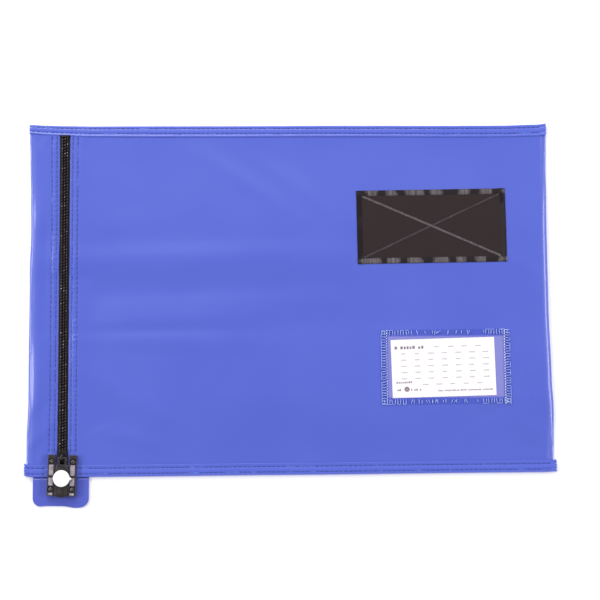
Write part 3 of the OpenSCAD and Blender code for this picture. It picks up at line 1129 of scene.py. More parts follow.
    def roll(self, edge: float, reach: float, ys: np.ndarray, count: int) -> np.ndarray:
        """The round side fold, from the front's face to the back's.

        Args:
            edge: X of the fold's outermost line.
            reach: How far in from there the roll starts.
            ys: Stations along the fold.
            count: Number of lines in the roll.

        Returns:
            Points of the roll, as (stations, lines, 3).
        """
        side = math.copysign(1.0, edge)
        turn = np.linspace(self.roll_from, math.pi, count + 2)[1:-1]
        start = edge - side * reach
        high = self.front(np.full_like(ys, start), ys)[:, None]
        low = self.back(np.full_like(ys, start), ys)[:, None]
        out = np.sin(turn) ** 0.8
        already = math.sin(self.roll_from) ** 0.8
        out = np.where(turn < math.pi / 2, (out - already) / (1 - already), out)
        x = start + side * reach * np.broadcast_to(out, (len(ys), count))
        fall = (np.cos(turn) + 1) / (math.cos(self.roll_from) + 1)
        z = low + (high - low) * fall[None, :]
        return np.stack([x, np.broadcast_to(ys[:, None], x.shape), z], -1)

    def lip(self, side: int, ys: np.ndarray) -> np.ndarray:
        """The sheet's turned-in edge beside the zip, from its raw end to the rolled lip.

        Args:
            side: -1 for the left edge and 1 for the right one.
            ys: Stations along the edge.

        Returns:
            Points of the edge, as (stations, lines, 3).
        """
        plan = self.plan
        lip_x = plan.zip_x + side * (plan.slot_half - self.lip_in)
        flat = np.linspace(self.turned_in, self.lip_r * 1.6, 4)
        turn = np.linspace(0, math.pi, 7)[:-1]
        x = np.concatenate([lip_x + side * flat, lip_x + side * self.lip_r * (1 - np.sin(turn))])
        z = np.concatenate(
            [np.full(4, plan.coil_z), plan.coil_z + self.lip_r * (1 - np.cos(turn))]
        )
        shape = (len(ys), len(x))
        grid = [np.broadcast_to(x, shape), np.broadcast_to(ys[:, None], shape)]
        return np.stack([*grid, np.broadcast_to(z, shape)], -1)

    def field(self, xs: np.ndarray, ys: np.ndarray, height: Height) -> np.ndarray:
        """Points of a face at stations along X and Y."""
        x, y = np.meshgrid(xs, ys)
        return np.stack([x, y, height(x, y)], -1)

    def outer(self) -> np.ndarray:
        """The sheet's outer face, row by row, from one raw edge to the other."""
        plan = self.plan
        reach = plan.half_h - 1.4
        even = math.floor(reach / self.row_step) * self.row_step
        ys = stations(-even, even, self.row_step, [plan.hem_in, -plan.hem_in])
        ys = np.concatenate([[-reach], ys, [reach]])
        half = plan.slot_half - self.lip_in
        right_lip, left_lip = plan.zip_x + half, plan.zip_x - half
        right_start = plan.half_w - self.right_roll
        left_start = -plan.half_w + self.left_roll
        sewn_right = stations(right_lip + self.lip_r, right_lip + 15, 0.8)
        slope = stations(right_lip + 16.5, right_lip + 60, 3.6)
        shoulder = stations(right_start - self.shoulder, right_start, 0.8)
        rest = stations(right_lip + 65, shoulder[0] - 4.0, 6.0)
        strip = stations(left_start, left_lip - self.lip_r, 0.85)
        under = stations(left_start, right_start, 15.0)[::-1]
        return np.concatenate(
            [
                self.lip(1, ys),
                self.field(np.concatenate([sewn_right, slope, rest, shoulder]), ys, self.front),
                self.roll(plan.half_w, self.right_roll, ys, 15),
                self.field(under, ys, self.back),
                self.roll(-plan.half_w, self.left_roll, ys, 13)[:, ::-1],
                self.field(strip, ys, self.front),
                self.lip(-1, ys)[:, ::-1],
            ],
            axis=1,
        )

    def build(self) -> bpy.types.Object:
        """Makes the sheet, and works out its flat height without using it."""
        outer = self.settle.moved(self.outer())
        inner = outer - surface_normals(outer) * self.thickness
        piece = Shape(self.plan).shell(outer, inner).piece(
            "body_sheet",
            SHEET_BLUE,
            Slot.SHEET,
            Body.BAG,
            ["front_panel", "zip_side_panel", "back_panel"],
            crisp=60,
        )
        tall = outer[-1, 0, 1] - outer[0, 0, 1]
        tall * MM
        return piece


@dataclass
class Binding:
    """A strip folded over the raw edges at one hem and sewn through with two rows."""

    plan: Plan
    settle: Settle
    hem: Hem
    thickness: float = 0.5
    step: float = 1.5
    rows: tuple[float, float] = (2.9, 7.9)
    pitch: float = 4.4
    edge_lift: float = 0.28
    narrower: Line = soft_line([(-243, 2.6), (-215, 1.9), (-185, 1.0), (-120, 0.5), (243, 0.0)])

    def drawn_in(self, x: np.ndarray, inset: np.ndarray) -> np.ndarray:
        """Insets scaled to where the strip's hold narrows along the top hem."""
        share = self.narrower(x) / (self.plan.half_h - self.plan.hem_in) * (self.hem is Hem.TOP)
        return inset * (1 - share)

    @property
    def node(self) -> str:
        """The frame's node that the strip stands for."""
        return f"{self.hem.name.lower()}_binding"

    def leg(self, x: np.ndarray, inset: np.ndarray) -> np.ndarray:
        """Height of the front leg's face.

        Args:
            x: Places along the hem.
            inset: How far in each place is from the hem's outer edge.

        Returns:
            The height at each place.
        """
        width = self.plan.half_h - self.plan.hem_in
        stitch = np.cos(x / self.pitch * TURN) * 0.5 + 0.5
        groove = sum(hump(inset - row, 0.75) for row in self.rows)
        crown = 0.16 * hump(inset - sum(self.rows) / 2, 2.2)
        wander = 0.10 * np.sin(x / 9.0 + 1.7 * np.sin(x / 23.0)) + 0.05 * np.sin(x / 3.1)
        lift = self.edge_lift * hump(width - inset - 0.5, 1.0)
        return self.plan.hem_t + crown + wander * 0.6 + lift - groove * (0.24 + 0.12 * stitch)

    def back_leg(self, x: np.ndarray, inset: np.ndarray) -> np.ndarray:
        """Height of the back leg's face, which is raised over the tab."""
        groove = sum(hump(inset - row, 0.75) for row in self.rows) * 0.2 + 0 * x
        if self.hem is Hem.TOP:
            return groove
        low, high = self.plan.box("lock_tab")
        over = eased(np.minimum(x - low[0] + 1.6, high[0] + 1.6 - x) / 0.8)
        return groove + over * (self.plan.tape_z - 1.2)

    def outer(self) -> np.ndarray:
        """The strip's outer face, from its front leg's edge round to its back leg's."""
        low, high = self.plan.box(self.node)
        width = self.plan.half_h - self.plan.hem_in
        xs = stations(low[0], high[0], self.step)
        edge = np.array([0.0, 0.05, 0.14, 0.3])
        drop = np.array([0.42, 0.2, 0.07, 0.0])
        flat = stations(0.6, width - 1.6, 0.55)
        turn = np.linspace(0, math.pi, 11)[1:-1]
        inset = width - np.concatenate([edge, flat])
        x = np.broadcast_to(xs, (len(inset), len(xs)))
        front = self.leg(x, inset[:, None]) - np.pad(drop, (0, len(flat)))[:, None]
        back = self.back_leg(x, inset[:, None]) + np.pad(drop, (0, len(flat)))[:, None]
        high_z, low_z = front[-1], back[-1]
        bend = (high_z + low_z) / 2 + (high_z - low_z) / 2 * np.cos(turn)[:, None]
        bend_inset = inset[-1] * (1 - np.sin(turn) ** 0.7)
        z = np.concatenate([front, bend, back[::-1]])
        away = np.concatenate([inset, bend_inset, inset[::-1]])
        x = np.broadcast_to(xs, z.shape).copy()
        ragged = 0.35 * np.sin(away * 2.3) + 0.25 * np.sin(away * 5.1)
        x[:, 0] += ragged + 0.9 * (self.hem is Hem.BOTTOM)
        x[:, -1] += ragged[::-1]
        away = np.broadcast_to(away[:, None], z.shape)
        y = self.hem.value * (self.plan.half_h - self.drawn_in(x, away))
        return np.stack([x, y, z], -1)

    def build(self) -> bpy.types.Object:
        """Makes the strip."""
        outer = self.settle.moved(self.outer(), sides=0.2)[:, :: self.hem.value]
        inner = outer - surface_normals(outer) * self.thickness
        piece = Shape(self.plan).shell(outer, inner).piece(
            self.node + "_strip", BINDING_BLUE, Slot.BINDING, Body.BAG, [self.node], crisp=55
        )
        return piece

    def sew(self) -> bpy.types.Object:
        """Makes the two rows of stitches, on the front and on the back."""
        node = f"{self.hem.name.lower()}_hem_stitching"
        low, high = self.plan.box(node)
        shape = Shape(self.plan)
        chamber_low, chamber_high = self.plan.box("lock_chamber")
        for face in Face:
            for row in self.rows:
                starts = np.arange(low[0] + 1, high[0] - self.pitch, self.pitch)
                ends = starts + self.pitch - 0.7
                if self.hem is Hem.BOTTOM and face is Face.FRONT:
                    clear = (ends < chamber_low[0]) | (starts > chamber_high[0])
                    starts, ends = starts[clear], ends[clear]
                lines = []
                for x in (starts, ends):
                    inset = np.full_like(x, row)
                    drawn = self.drawn_in(x, inset) + 0.06 * np.sin(x * 1.7)
                    y = self.hem.value * (self.plan.half_h - drawn)
                    if face is Face.FRONT:
                        z = self.leg(x, inset) - 0.08
                    else:
                        z = self.back_leg(x, inset) + 0.1
                    lines.append(self.settle.moved(np.stack([x, y, z], -1), sides=0.2))
                shape.threads(lines[0], lines[1], 0.40, 0.34, face)
        return shape.piece(
            node + "_thread", SEWING_BLUE, Slot.BLUE_THREAD, Body.BAG, [node], crisp=80
        )


@dataclass
class LockTab:
    """The rounded tab sewn behind the bottom hem, under the lock."""

    plan: Plan
    corner_r: float = 8.5
    lower_edge: Line = soft_line([(-235, 0.4), (-222, 1.6), (-208, 1.4), (-196, -0.2), (-184, 0.3)])

    def build(self) -> bpy.types.Object:
        """Makes the tab."""
        low, high = self.plan.box("lock_tab")
        r = self.corner_r

        def sides(ys: np.ndarray) -> tuple[np.ndarray, np.ndarray]:
            """The tab's edges, drawn in at its round corners."""
            reach = np.clip(r - (ys - low[1]), 0, r)
            inward = r - np.sqrt(r * r - reach * reach)
            return low[0] + 0.3 + inward, high[0] - 0.3 - inward

        near = low[1] + r * (1 - np.cos(np.linspace(0, math.pi / 2, 12)))
        ys = np.concatenate([near, stations(low[1] + r + 0.8, high[1], 1.2)])
        columns = lipped(0, 1, 0.012, 0.03)
        left, right = sides(ys)
        x = left[:, None] + (right - left)[:, None] * columns[None, :]
        y = np.broadcast_to(ys[:, None], x.shape)
        past = -(y + self.plan.half_h)
        rise = (high[2] - 0.8) * eased(past / 2.5)
        droop = 0.8 * eased((past - 19) / 9)
        wave = 0.10 * np.sin(x / 5.0 + y / 11.0) * eased(past / 5)
        under = rise - droop + wave
        reach = np.minimum.reduce([x - left[:, None], right[:, None] - x, y - low[1]])
        top = under + 0.8 - roll_off(reach, 0.35)
        shift = self.lower_edge(x) * eased(past / 27)
        shape = Shape(self.plan)
        shape.shell(np.stack([x, y + shift, top], -1), np.stack([x, y + shift, under], -1))
        piece = shape.piece("lock_tab_sheet", TAB_BLUE, Slot.SHEET, Body.BAG, ["lock_tab"])
        return piece


# ---------------------------------------------------------------- the zip


@dataclass
class Zip:
    """Tapes, coils, their sewing threads, stops and the rows of stitches beside them."""

    plan: Plan
    sheet: BodySheet
    pitch: float = 2.2
    wire_r: float = 0.48
    turn_steps: int = 12
    mesh_in: float = 0.35
    under_hem: float = 4.0
    stop_lip: float = 0.35

    def tape(self, side: int) -> bpy.types.Object:
        """One woven tape, with its fine ribs along the zip.

        Args:
            side: -1 for the left tape and 1 for the right one.

        Returns:
            The tape.
        """
        node = "zip_tape_left" if side < 0 else "zip_tape_right"
        low, high = self.plan.box(node)
        inner_x = self.plan.zip_x + side * 0.05
        low[0], high[0] = (low[0], inner_x) if side < 0 else (inner_x, high[0])
        shape = Shape(self.plan).block(
            stations(low[1], high[1], 4.0),
            between(low[0], high[0]),
            lipped(0, 1, 0.03, 0.05),
            lambda x, y: high[2] + 0.05 * np.sin(x * 3.5),
            flat_at(low[2]),
            lip=0.2,
        )
        piece = shape.piece(node + "_weave", TAPE_BLACK, Slot.TAPE, Body.BAG, [node])
        return piece

    def head_reach(self) -> float:
        """How far each coil's heads reach in from the frame's solid, past the middle."""
        return self.plan.box("zip_coil_right")[0][0] - self.plan.zip_x + self.mesh_in

    def coil(self, side: int) -> bpy.types.Object:
        """One coil: a single wire wound in flat turns whose heads meet at the middle.

        Args:
            side: -1 for the left coil and 1 for the right one.

        Returns:
            The coil.
        """
        node = "zip_coil_left" if side < 0 else "zip_coil_right"
        low, high = self.plan.box(node)
        high[1] += self.under_hem
        turns = (high[1] - low[1] - 2 * self.wire_r) / self.pitch
        steps = int(turns * self.turn_steps)
        angle = np.linspace(0, turns * TURN, steps)
        middle = (low + high) / 2
        half_x = (high[0] - low[0] + self.head_reach()) / 2 - self.wire_r
        half_z = (high[2] - low[2]) / 2 - self.wire_r
        across = np.sign(np.cos(angle)) * np.abs(np.cos(angle)) ** 0.7
        up = np.sign(np.sin(angle)) * np.abs(np.sin(angle)) ** 0.8
        head = 0.5 * self.pitch * (side > 0)
        x = middle[0] - side * half_x * across - side * self.head_reach() / 2
        y = np.minimum(low[1] + self.wire_r + angle / TURN * self.pitch + head, high[1] - self.wire_r)
        path = np.stack([x, y, middle[2] + half_z * up], -1)
        shape = Shape(self.plan).tubes(path[None], self.wire_r, Vector((0, 1, 0.02)), sides=7)
        return shape.piece(
            node + "_turns", COIL_BLACK, Slot.COIL, Body.BAG, [node], crisp=80
        )

    def coil_threads(self) -> bpy.types.Object:
        """The threads that hold the coils to their tapes, in three rows along them."""
        low, high = self.plan.box("zip_coil_left")
        step = self.pitch * 1.25
        starts_y = np.arange(low[1] + 1, high[1] + self.under_hem - step, step)
        shape = Shape(self.plan)
        for offset, shift in ((-2.5, 0.0), (0.0, 0.5), (2.3, 1.1)):
            x = np.full_like(starts_y, self.plan.zip_x + offset)
            z = np.full_like(starts_y, high[2] - 0.38)
            first = np.stack([x - 0.12, starts_y + shift, z], -1)
            last = np.stack([x + 0.12, starts_y + shift + step * 0.5, z], -1)
            shape.threads(first, last, 0.38, 0.34)
        return shape.piece("coil_sewing", COIL_THREAD_GLINTS, Slot.COIL, Body.BAG, crisp=80)

    def rows(self, side: int) -> bpy.types.Object:
        """The two rows of stitches that hold the sheet to one tape.

        Args:
            side: -1 for the left tape and 1 for the right one.

        Returns:
            The stitches.
        """
        node = "zip_stitching_left" if side < 0 else "zip_stitching_right"
        low, high = self.plan.box(node)
        pitch = self.sheet.stitch_pitch
        shape = Shape(self.plan)
        first = math.ceil(low[1] / pitch) * pitch
        starts_y = np.arange(first, high[1] + 1, pitch) + 0.35
        for row in self.sheet.stitch_rows:
            lines = []
            for y in (starts_y, starts_y + pitch - 0.7):
                x = np.full_like(y, self.plan.zip_x + side * row) + 0.12 * np.sin(y * 0.9)
                z = self.sheet.front(x, y) - 0.04
                lines.append(self.sheet.settle.moved(np.stack([x, y, z], -1)))
            shape.threads(lines[0], lines[1], 0.37, 0.32)
        return shape.piece(
            node + "_thread", SEWING_BLUE, Slot.BLUE_THREAD, Body.BAG, [node], crisp=80
        )

    def stops(self) -> None:
        """The end stops, crimped over the coils."""
        for node, tucked in (("zip_top_stop", self.under_hem), ("zip_bottom_stop", 0.0)):
            low, high = self.plan.box(node)
            low[1], high[1] = low[1] + tucked, high[1] + tucked
            shape = Shape(self.plan).block(
                lipped(low[1], high[1], self.stop_lip, 0.3),
                between(low[0], high[0]),
                lipped(0, 1, self.stop_lip / (high[0] - low[0]), 0.08),
                lambda x, y, z=high[2]: z - 0.12 * hump(x - self.plan.zip_x, 0.5),
                flat_at(low[2]),
                lip=self.stop_lip,
            )
            shape.piece(node + "_crimp", ZIP_BLACK, Slot.STOP, Body.BAG, [node])

    def build(self) -> None:
        """Makes every piece of the zip but its slider."""
        for side in (-1, 1):
            self.tape(side)
            self.coil(side)
            self.rows(side)
        self.coil_threads()
        self.stops()


@dataclass
class Slider:
    """The slider: two waisted plates, the flanges between them and the bridge on top."""

    plan: Plan
    plate_t: float = 0.9
    lip: float = 0.3
    flange: tuple[float, float] = (3.9, 4.6)

    def outline(self, ys: np.ndarray) -> tuple[np.ndarray, np.ndarray]:
        """The plates' edges at each Y."""
        low, high = self.plan.box("zip_slider")
        half = (high[0] - low[0]) / 2
        along = ys - low[1]
        half_at = soft_line(
            [(0, half - 1.4), (1.6, half), (6.2, half), (9.2, half - 0.9), (11, half - 1.5)]
        )
        middle = (low[0] + high[0]) / 2
        return middle - half_at(along), middle + half_at(along)

    def build(self) -> bpy.types.Object:
        """Makes the slider in one moulding."""
        low, high = self.plan.box("zip_slider")
        zip_x = self.plan.zip_x
        roof = self.plan.box("zip_coil_left")[1][2] + 0.3
        ys = lipped(low[1], high[1], self.lip, 0.6)
        columns = lipped(0, 1, 0.035, 0.06)
        shape = Shape(self.plan)

        def roof_top(x: np.ndarray, y: np.ndarray) -> np.ndarray:
            """The top plate's face, hollowed along its middle."""
            return roof + self.plate_t - 0.12 * hump(x - zip_x, 1.6)

        shape.block(ys, self.outline, columns, roof_top, flat_at(roof), self.lip)
        floor = low[2]
        shape.block(ys, self.outline, columns, flat_at(floor + 0.8), flat_at(floor), 0.2)
        for side in (-1, 1):
            shape.block(
                lipped(low[1] + 1.5, low[1] + 6.5, 0.2, 0.8),
                between(zip_x + side * self.flange[1], zip_x + side * self.flange[0]),
                lipped(0, 1, 0.2, 0.3),
                flat_at(roof + 0.1),
                flat_at(self.plan.coil_z + 0.3),
            )
        self.bridge(shape, low[1], roof + 0.5, high[2])
        return shape.piece(
            "slider_moulding", ZIP_BLACK, Slot.SLIDER, Body.SLIDER, ["zip_slider"], crisp=35
        )

    def bridge(self, shape: Shape, start: float, foot: float, crest: float) -> None:
        """Adds the strap that the tongue's eye hangs on.

        Args:
            shape: The slider's shape.
            start: Y of the slider's lower end.
            foot: Height of the strap's feet.
            crest: Height of its top.
        """
        share = np.linspace(0, 1, 21)
        y = start + 1.45 + share * 6.1
        arch = foot + (crest - 0.45 - foot) * (1 - np.abs(2 * share - 1) ** 5.0)
        width, depth = 1.05, 0.45
        ring = []
        for turn in np.arange(12) * TURN / 12:
            c, s = math.cos(turn), math.sin(turn)
            ring.append((width * np.sign(c) * abs(c) ** 0.5, depth * np.sign(s) * abs(s) ** 0.6))
        path = np.stack([np.zeros_like(y), y, arch], -1)
        along = np.gradient(path, axis=0)
        along /= np.linalg.norm(along, axis=1, keepdims=True)
        out = np.cross(np.array([1.0, 0, 0]), along)
        rings = np.stack(
            [path + np.array([self.plan.zip_x + a, 0, 0]) + out * b for a, b in ring], axis=1
        )
        numbers = shape._add(rings)
        shape._quads(np.concatenate([numbers, numbers[:, :1]], axis=1)[::-1])
        shape.faces.append(numbers[:1].reshape(1, -1))
        shape.faces.append(numbers[-1:, ::-1].reshape(1, -1))


# ---------------------------------------------------------------- the lock


@dataclass
class Lock:
    """The riveted chamber, the puller tongue and the round seal."""

    plan: Plan
    rail_lip: float = 0.45
    bar_half: float = 2.1
    bar_lift: float = 0.55
    recess: float = 0.45
    nose: float = 9.9
    nub: float = 8.0
    lean: float = -2.1
    lean_about: float = -157.0
    seal_below: float = 1.7

    @property
    def seal_at(self) -> tuple[float, float]:
        """The seal's middle, on the zip's line just below the hem."""
        return self.plan.zip_x, -self.plan.half_h - self.seal_below

    def leaning(self, points: np.ndarray) -> np.ndarray:
        """Points turned a little about the zip, as the whole lock sits on the bag."""
        c, s = math.cos(math.radians(self.lean)), math.sin(math.radians(self.lean))
        dx, dy = points[:, 0] - self.plan.zip_x, points[:, 1] - self.lean_about
        out = points.copy()
        out[:, 0] = self.plan.zip_x + dx * c - dy * s
        out[:, 1] = self.lean_about + dx * s + dy * c
        return out

    def rivets(self) -> list[tuple[float, float]]:
        """The middles of the four rivets."""
        low, high = self.plan.box("chamber_rivets")
        r = 2.2
        return [(x, y) for x in (low[0] + r, high[0] - r) for y in (high[1] - r, low[1] + r)]

    def rail(self, shape: Shape, side: int) -> None:
        """Adds one rail, with its raised bars and the wells for its rivets.

        Args:
            shape: The chamber's shape.
            side: -1 for the left rail and 1 for the right one.
        """
        low, high = self.plan.box("lock_chamber")
        tongue_low, tongue_high = self.plan.box("puller_tongue")
        width = (high[0] - low[0] - (tongue_high[0] - tongue_low[0])) / 2 - 0.35
        x0 = low[0] if side < 0 else high[0] - width
        middle = x0 + width / 2
        face = high[2] - 0.5
        upper, lower = (y for x, y in self.rivets()[:2])
        bars = [(upper - 12.9, upper - 2.9), (lower + 3.1, lower + 10.5), (low[1] + 0.5, lower - 3.2)]
        plan = self.plan

        def top(x: np.ndarray, y: np.ndarray) -> np.ndarray:
            """The rail's upper face."""
            z = np.full_like(x, face)
            off = np.abs(x - middle)
            for first, last in bars:
                inside = np.minimum.reduce([y - first, last - y, self.bar_half - off])
                z = np.maximum(z, face + self.bar_lift * eased(inside / 0.5 + 0.2))
            for rivet_y in (upper, lower):
                away = np.hypot(x - middle, y - rivet_y)
                near = np.maximum(off - 2.9, np.abs(y - rivet_y) - 3.0)
                z = z - self.recess * eased(-near / 0.35 + 0.3)
                well = face - 1.5 + 0.4 * eased((away - 2.6) / 0.2)
                z = np.where(away < 2.8, np.minimum(z, well), z)
            return z

        def under(x: np.ndarray, y: np.ndarray) -> np.ndarray:
            """The rail's lower face, stepped over the sheet, the hem and the tab."""
            over_hem = np.where(y < -plan.hem_in, plan.hem_t, plan.front_z)
            return np.where(y < -plan.half_h, plan.tape_z, over_hem)

        r = 1.0

        def sides(ys: np.ndarray) -> tuple[np.ndarray, np.ndarray]:
            """The rail's edges with its corners rounded."""
            reach = np.clip(r - np.minimum(ys - low[1], high[1] - ys), 0, r)
            inward = r - np.sqrt(np.maximum(r * r - reach * reach, 0))
            return x0 + inward, x0 + width - inward

        marks = [v + d for b in bars for v in b for d in (-0.1, 0.1, 0.3)]
        steps = [-plan.hem_in - 0.05, -plan.hem_in + 0.05, -plan.half_h - 0.05, -plan.half_h + 0.05]
        ends = [low[1] + 0.08, low[1] + 0.2, high[1] - 0.08]
        ys = stations(low[1], high[1], 0.3, [*ends, *marks, *steps])
        columns = lipped(0, 1, 0.06, 0.04)
        shape.block(ys, sides, columns, top, under, self.rail_lip)

    def chamber(self) -> bpy.types.Object:
        """The chamber: two rails and the floor between them, with the seal's slot."""
        low, _ = self.plan.box("lock_chamber")
        plan = self.plan
        shape = Shape(plan, self.leaning)
        for side in (-1, 1):
            self.rail(shape, side)
        floor = plan.box("puller_tongue")[0][2] - 0.3
        slot_half = 2.7
        slot_end = self.seal_at[1] - 2.9
        first, last = low[1] + 0.6, -plan.hem_in - 2

        def top(x: np.ndarray, y: np.ndarray) -> np.ndarray:
            """The floor's face, open along the seal's slot."""
            inside = np.minimum(slot_half - np.abs(x - plan.zip_x), y - slot_end)
            return floor - (floor - plan.hem_t - 0.9) * (inside > 0)

        def under(x: np.ndarray, y: np.ndarray) -> np.ndarray:
            """The floor's lower face, stepped over the hem and the tab."""
            return np.where(y > -plan.half_h, plan.hem_t, plan.tape_z)

        edges = [slot_end - 0.02, slot_end + 0.02, -plan.half_h - 0.05, -plan.half_h + 0.05]
        half = 6.5
        slot_edges = [
            (half + side * (slot_half + d)) / (2 * half) for side in (-1, 1) for d in (-0.02, 0.02)
        ]
        shape.block(
            stations(first, last, 1.0, edges),
            between(plan.zip_x - half, plan.zip_x + half),
            stations(0, 1, 0.08, slot_edges),
            top,
            under,
        )
        return shape.piece(
            "chamber_moulding", CHAMBER_BROWN, Slot.LOCK, Body.BAG, ["lock_chamber"], crisp=35
        )

    def fasten(self) -> None:
        """The four rivets and the washers behind the tab."""
        top = self.plan.box("chamber_rivets")[1][2]
        heads, rings = Shape(self.plan, self.leaning), Shape(self.plan, self.leaning)
        for x, y in self.rivets():
            back = 2.0 if y > -self.plan.hem_in else 1.2
            tail = back - 0.6
            heads.lathe(
                (x, y),
                [(0.0, top), (0.5, top), (0.7, top - 0.12), (1.1, top - 0.02), (1.5, top - 0.08),
                 (1.75, top - 0.28), (1.9, top - 0.65), (1.95, top - 1.0), (1.25, top - 1.0),
                 (1.25, tail), (1.7, tail - 0.05), (1.9, tail - 0.25), (1.7, tail - 0.45),
                 (0.0, tail - 0.5)],
                sides=28,
            )
            rings.lathe(
                (x, y),
                [(1.3, back), (1.4, back), (2.2, back), (2.3, back - 0.1), (2.3, back - 0.5),
                 (2.2, back - 0.6), (1.4, back - 0.6), (1.3, back - 0.5), (1.3, back)],
                sides=28,
            )
        heads.piece("rivet_heads", RIVET_DARK, Slot.RIVET, Body.BAG, ["chamber_rivets"], crisp=50)
        rings.piece("washer_rings", PLATED, Slot.WASHER, Body.BAG, ["rivet_washers"], crisp=50)

    def tongue(self) -> bpy.types.Object:
        """The tongue: a plate with the seal's hole, two arms and the bar they hang by."""
        low, high = self.plan.box("puller_tongue")
        zip_x = self.plan.zip_x
        half, end = (high[0] - low[0]) / 2, low[1]
        plate_y, hinge_y = high[1] - 0.9 - 6.0, high[1] - 0.9
        under, top = low[2], high[2] - 0.2
        tip_r = 10.0
        tip = [
            (tip_r * math.sin(a), end + tip_r * (1 - math.cos(a)))
            for a in np.linspace(0, math.asin((half - 0.4) / tip_r), 9)
        ]
        edge = [(half, tip[-1][1] + 0.5), (half, plate_y - 2.6), (half - 0.5, plate_y - 1.2)]
        right = [*tip, *edge, (4.4, plate_y)]
        line = [*right, *[(-x, y) for x, y in right[::-1]]]
        outline = np.array([(zip_x + x, y) for x, y in line])
        shape = Shape(self.plan, self.leaning)
        self.plate(shape, outline, np.array(self.seal_at), 2.5, (under, top), 0.3)
        for side in (-1, 1):
            shape.block(
                lipped(plate_y - 0.6, hinge_y + 0.5, 0.3, 0.5),
                between(zip_x + side * 2.2, zip_x + side * 4.4),
                lipped(0, 1, 0.16, 0.15),
                lambda x, y: top - 0.25 * eased((y - plate_y - 3) / 3),
                flat_at(under),
                0.35,
            )
        radii = np.array([0.6, 0.85, 0.9, 0.9, 0.9, 0.9, 0.9, 0.85, 0.6])
        bar_x = np.linspace(zip_x - 4.35, zip_x + 4.35, len(radii))
        bar = np.stack([bar_x, bar_x * 0 + hinge_y, bar_x * 0 + (under + top) / 2], -1)
        shape.tubes(bar[None], radii, Vector((0, 0, 1)), sides=14)
        boss = top + 0.2
        shape.lathe(
            (zip_x, end + 4.5),
            [(0.0, boss - 0.08), (1.1, boss - 0.08), (1.3, boss), (2.0, boss),
             (2.3, boss - 0.08), (2.35, top - 0.1)],
            sides=32,
        )
        return shape.piece(
            "tongue_moulding", LOCK_BROWN, Slot.LOCK, Body.TONGUE, ["puller_tongue"], crisp=35
        )

    @staticmethod
    def plate(
        shape: Shape,
        outline: np.ndarray,
        hole: np.ndarray,
        hole_r: float,
        heights: tuple[float, float],
        lip: float,
    ) -> None:
        """Adds a flat plate with a round hole and rounded upper edges.

        Args:
            shape: The shape to add to.
            outline: The plate's outline, all of it in sight of the hole's middle.
            hole: The hole's middle.
            hole_r: The hole's radius.
            heights: The lower and upper faces.
            lip: Radius of the rounded edge.
        """
        count = 96
        away = outline - hole
        angles = np.arctan2(away[:, 1], away[:, 0])
        order = np.argsort(angles)
        angle = np.linspace(-math.pi, math.pi, count, endpoint=False)
        corner, reach = away[order], []
        for a in angle:
            ray = np.array([math.cos(a), math.sin(a)])
            best = 1e9
            for p, q in zip(corner, np.roll(corner, -1, axis=0)):
                side = q - p
                cross = ray[0] * side[1] - ray[1] * side[0]
                if abs(cross) > 1e-9:
                    t = (p[0] * side[1] - p[1] * side[0]) / cross
                    u = (p[0] * ray[1] - p[1] * ray[0]) / cross
                    if t > 0 and -1e-6 <= u <= 1 + 1e-6:
                        best = min(best, t)
            reach.append(best)
        reach = np.array(reach)
        under, top = heights
        rings = [
            (0.0, 0.0, under), (0.0, 0.0, top - 0.15), (0.0, -0.15, top), (0.6, 0.0, top),
            (1.0, lip, top), (1.0, lip * 0.5, top - lip * 0.13), (1.0, lip * 0.12, top - lip * 0.45),
            (1.0, 0.0, top - lip), (1.0, 0.0, under + 0.15), (1.0, 0.15, under), (0.0, 0.0, under),
        ]
        points = []
        for share, inset, z in rings:
            r = hole_r + (reach - hole_r) * share - inset
            x, y = hole[0] + r * np.cos(angle), hole[1] + r * np.sin(angle)
            points.append(np.stack([x, y, np.full(count, z)], -1))
        numbers = shape._add(np.array(points))
        shape._quads(np.concatenate([numbers, numbers[:, :1]], axis=1)[::-1])

    def seal(self) -> bpy.types.Object:
        """The seal: a disc with a nose, a nub and a raised rim, on a barbed shank."""
        low, high = self.plan.box("seal_button")
        r = (high[1] - low[1]) / 2
        under, top = high[2] - 1.8, high[2] - 0.2
        sides = 96
        angle = np.arange(sides) * TURN / sides
        swell = np.ones(sides)
        for reach, toward, half_w in ((self.nose, 0.0, 6.0), (self.nub, math.pi, 6.0)):
            turn = np.abs((angle - toward + math.pi) % TURN - math.pi)
            spike = reach * half_w / (half_w * np.cos(turn) + reach * np.sin(turn))
            swell = np.where(turn < 1.2, np.maximum(swell, spike / r), swell)
        swell = np.minimum(swell, (self.nose - 0.5) / r)
        shape = Shape(self.plan, self.leaning)
        tip_z = low[2]
        shape.lathe(
            self.seal_at,
            [(0.0, top + 0.02, 0), (3.0, top, 0), (r - 1.6, top - 0.03, 0), (r - 1.25, top, 0),
             (r - 1.0, top + 0.16, 0), (r - 0.7, top + 0.2, 0), (r - 0.5, top + 0.12, 0.1),
             (r - 0.35, top, 0.4), (r - 0.28, top - 0.02), (r - 0.08, top - 0.12), (r, top - 0.35),
             (r, under + 0.3), (r - 0.3, under), (1.9, under, 0), (1.9, tip_z + 1.0, 0),
             (2.2, tip_z + 0.9, 0), (1.5, tip_z + 0.15, 0), (1.3, tip_z, 0), (0.0, tip_z, 0)],
            sides,
            swell,
        )
        return shape.piece("seal_disc", SEAL_WHITE, Slot.SEAL, Body.SEAL, ["seal_button"], crisp=50)

    def build(self) -> None:
        """Makes every piece of the lock."""
        self.chamber()
        self.fasten()
        self.tongue()
        self.seal()


# ---------------------------------------------------------------- the front's trim


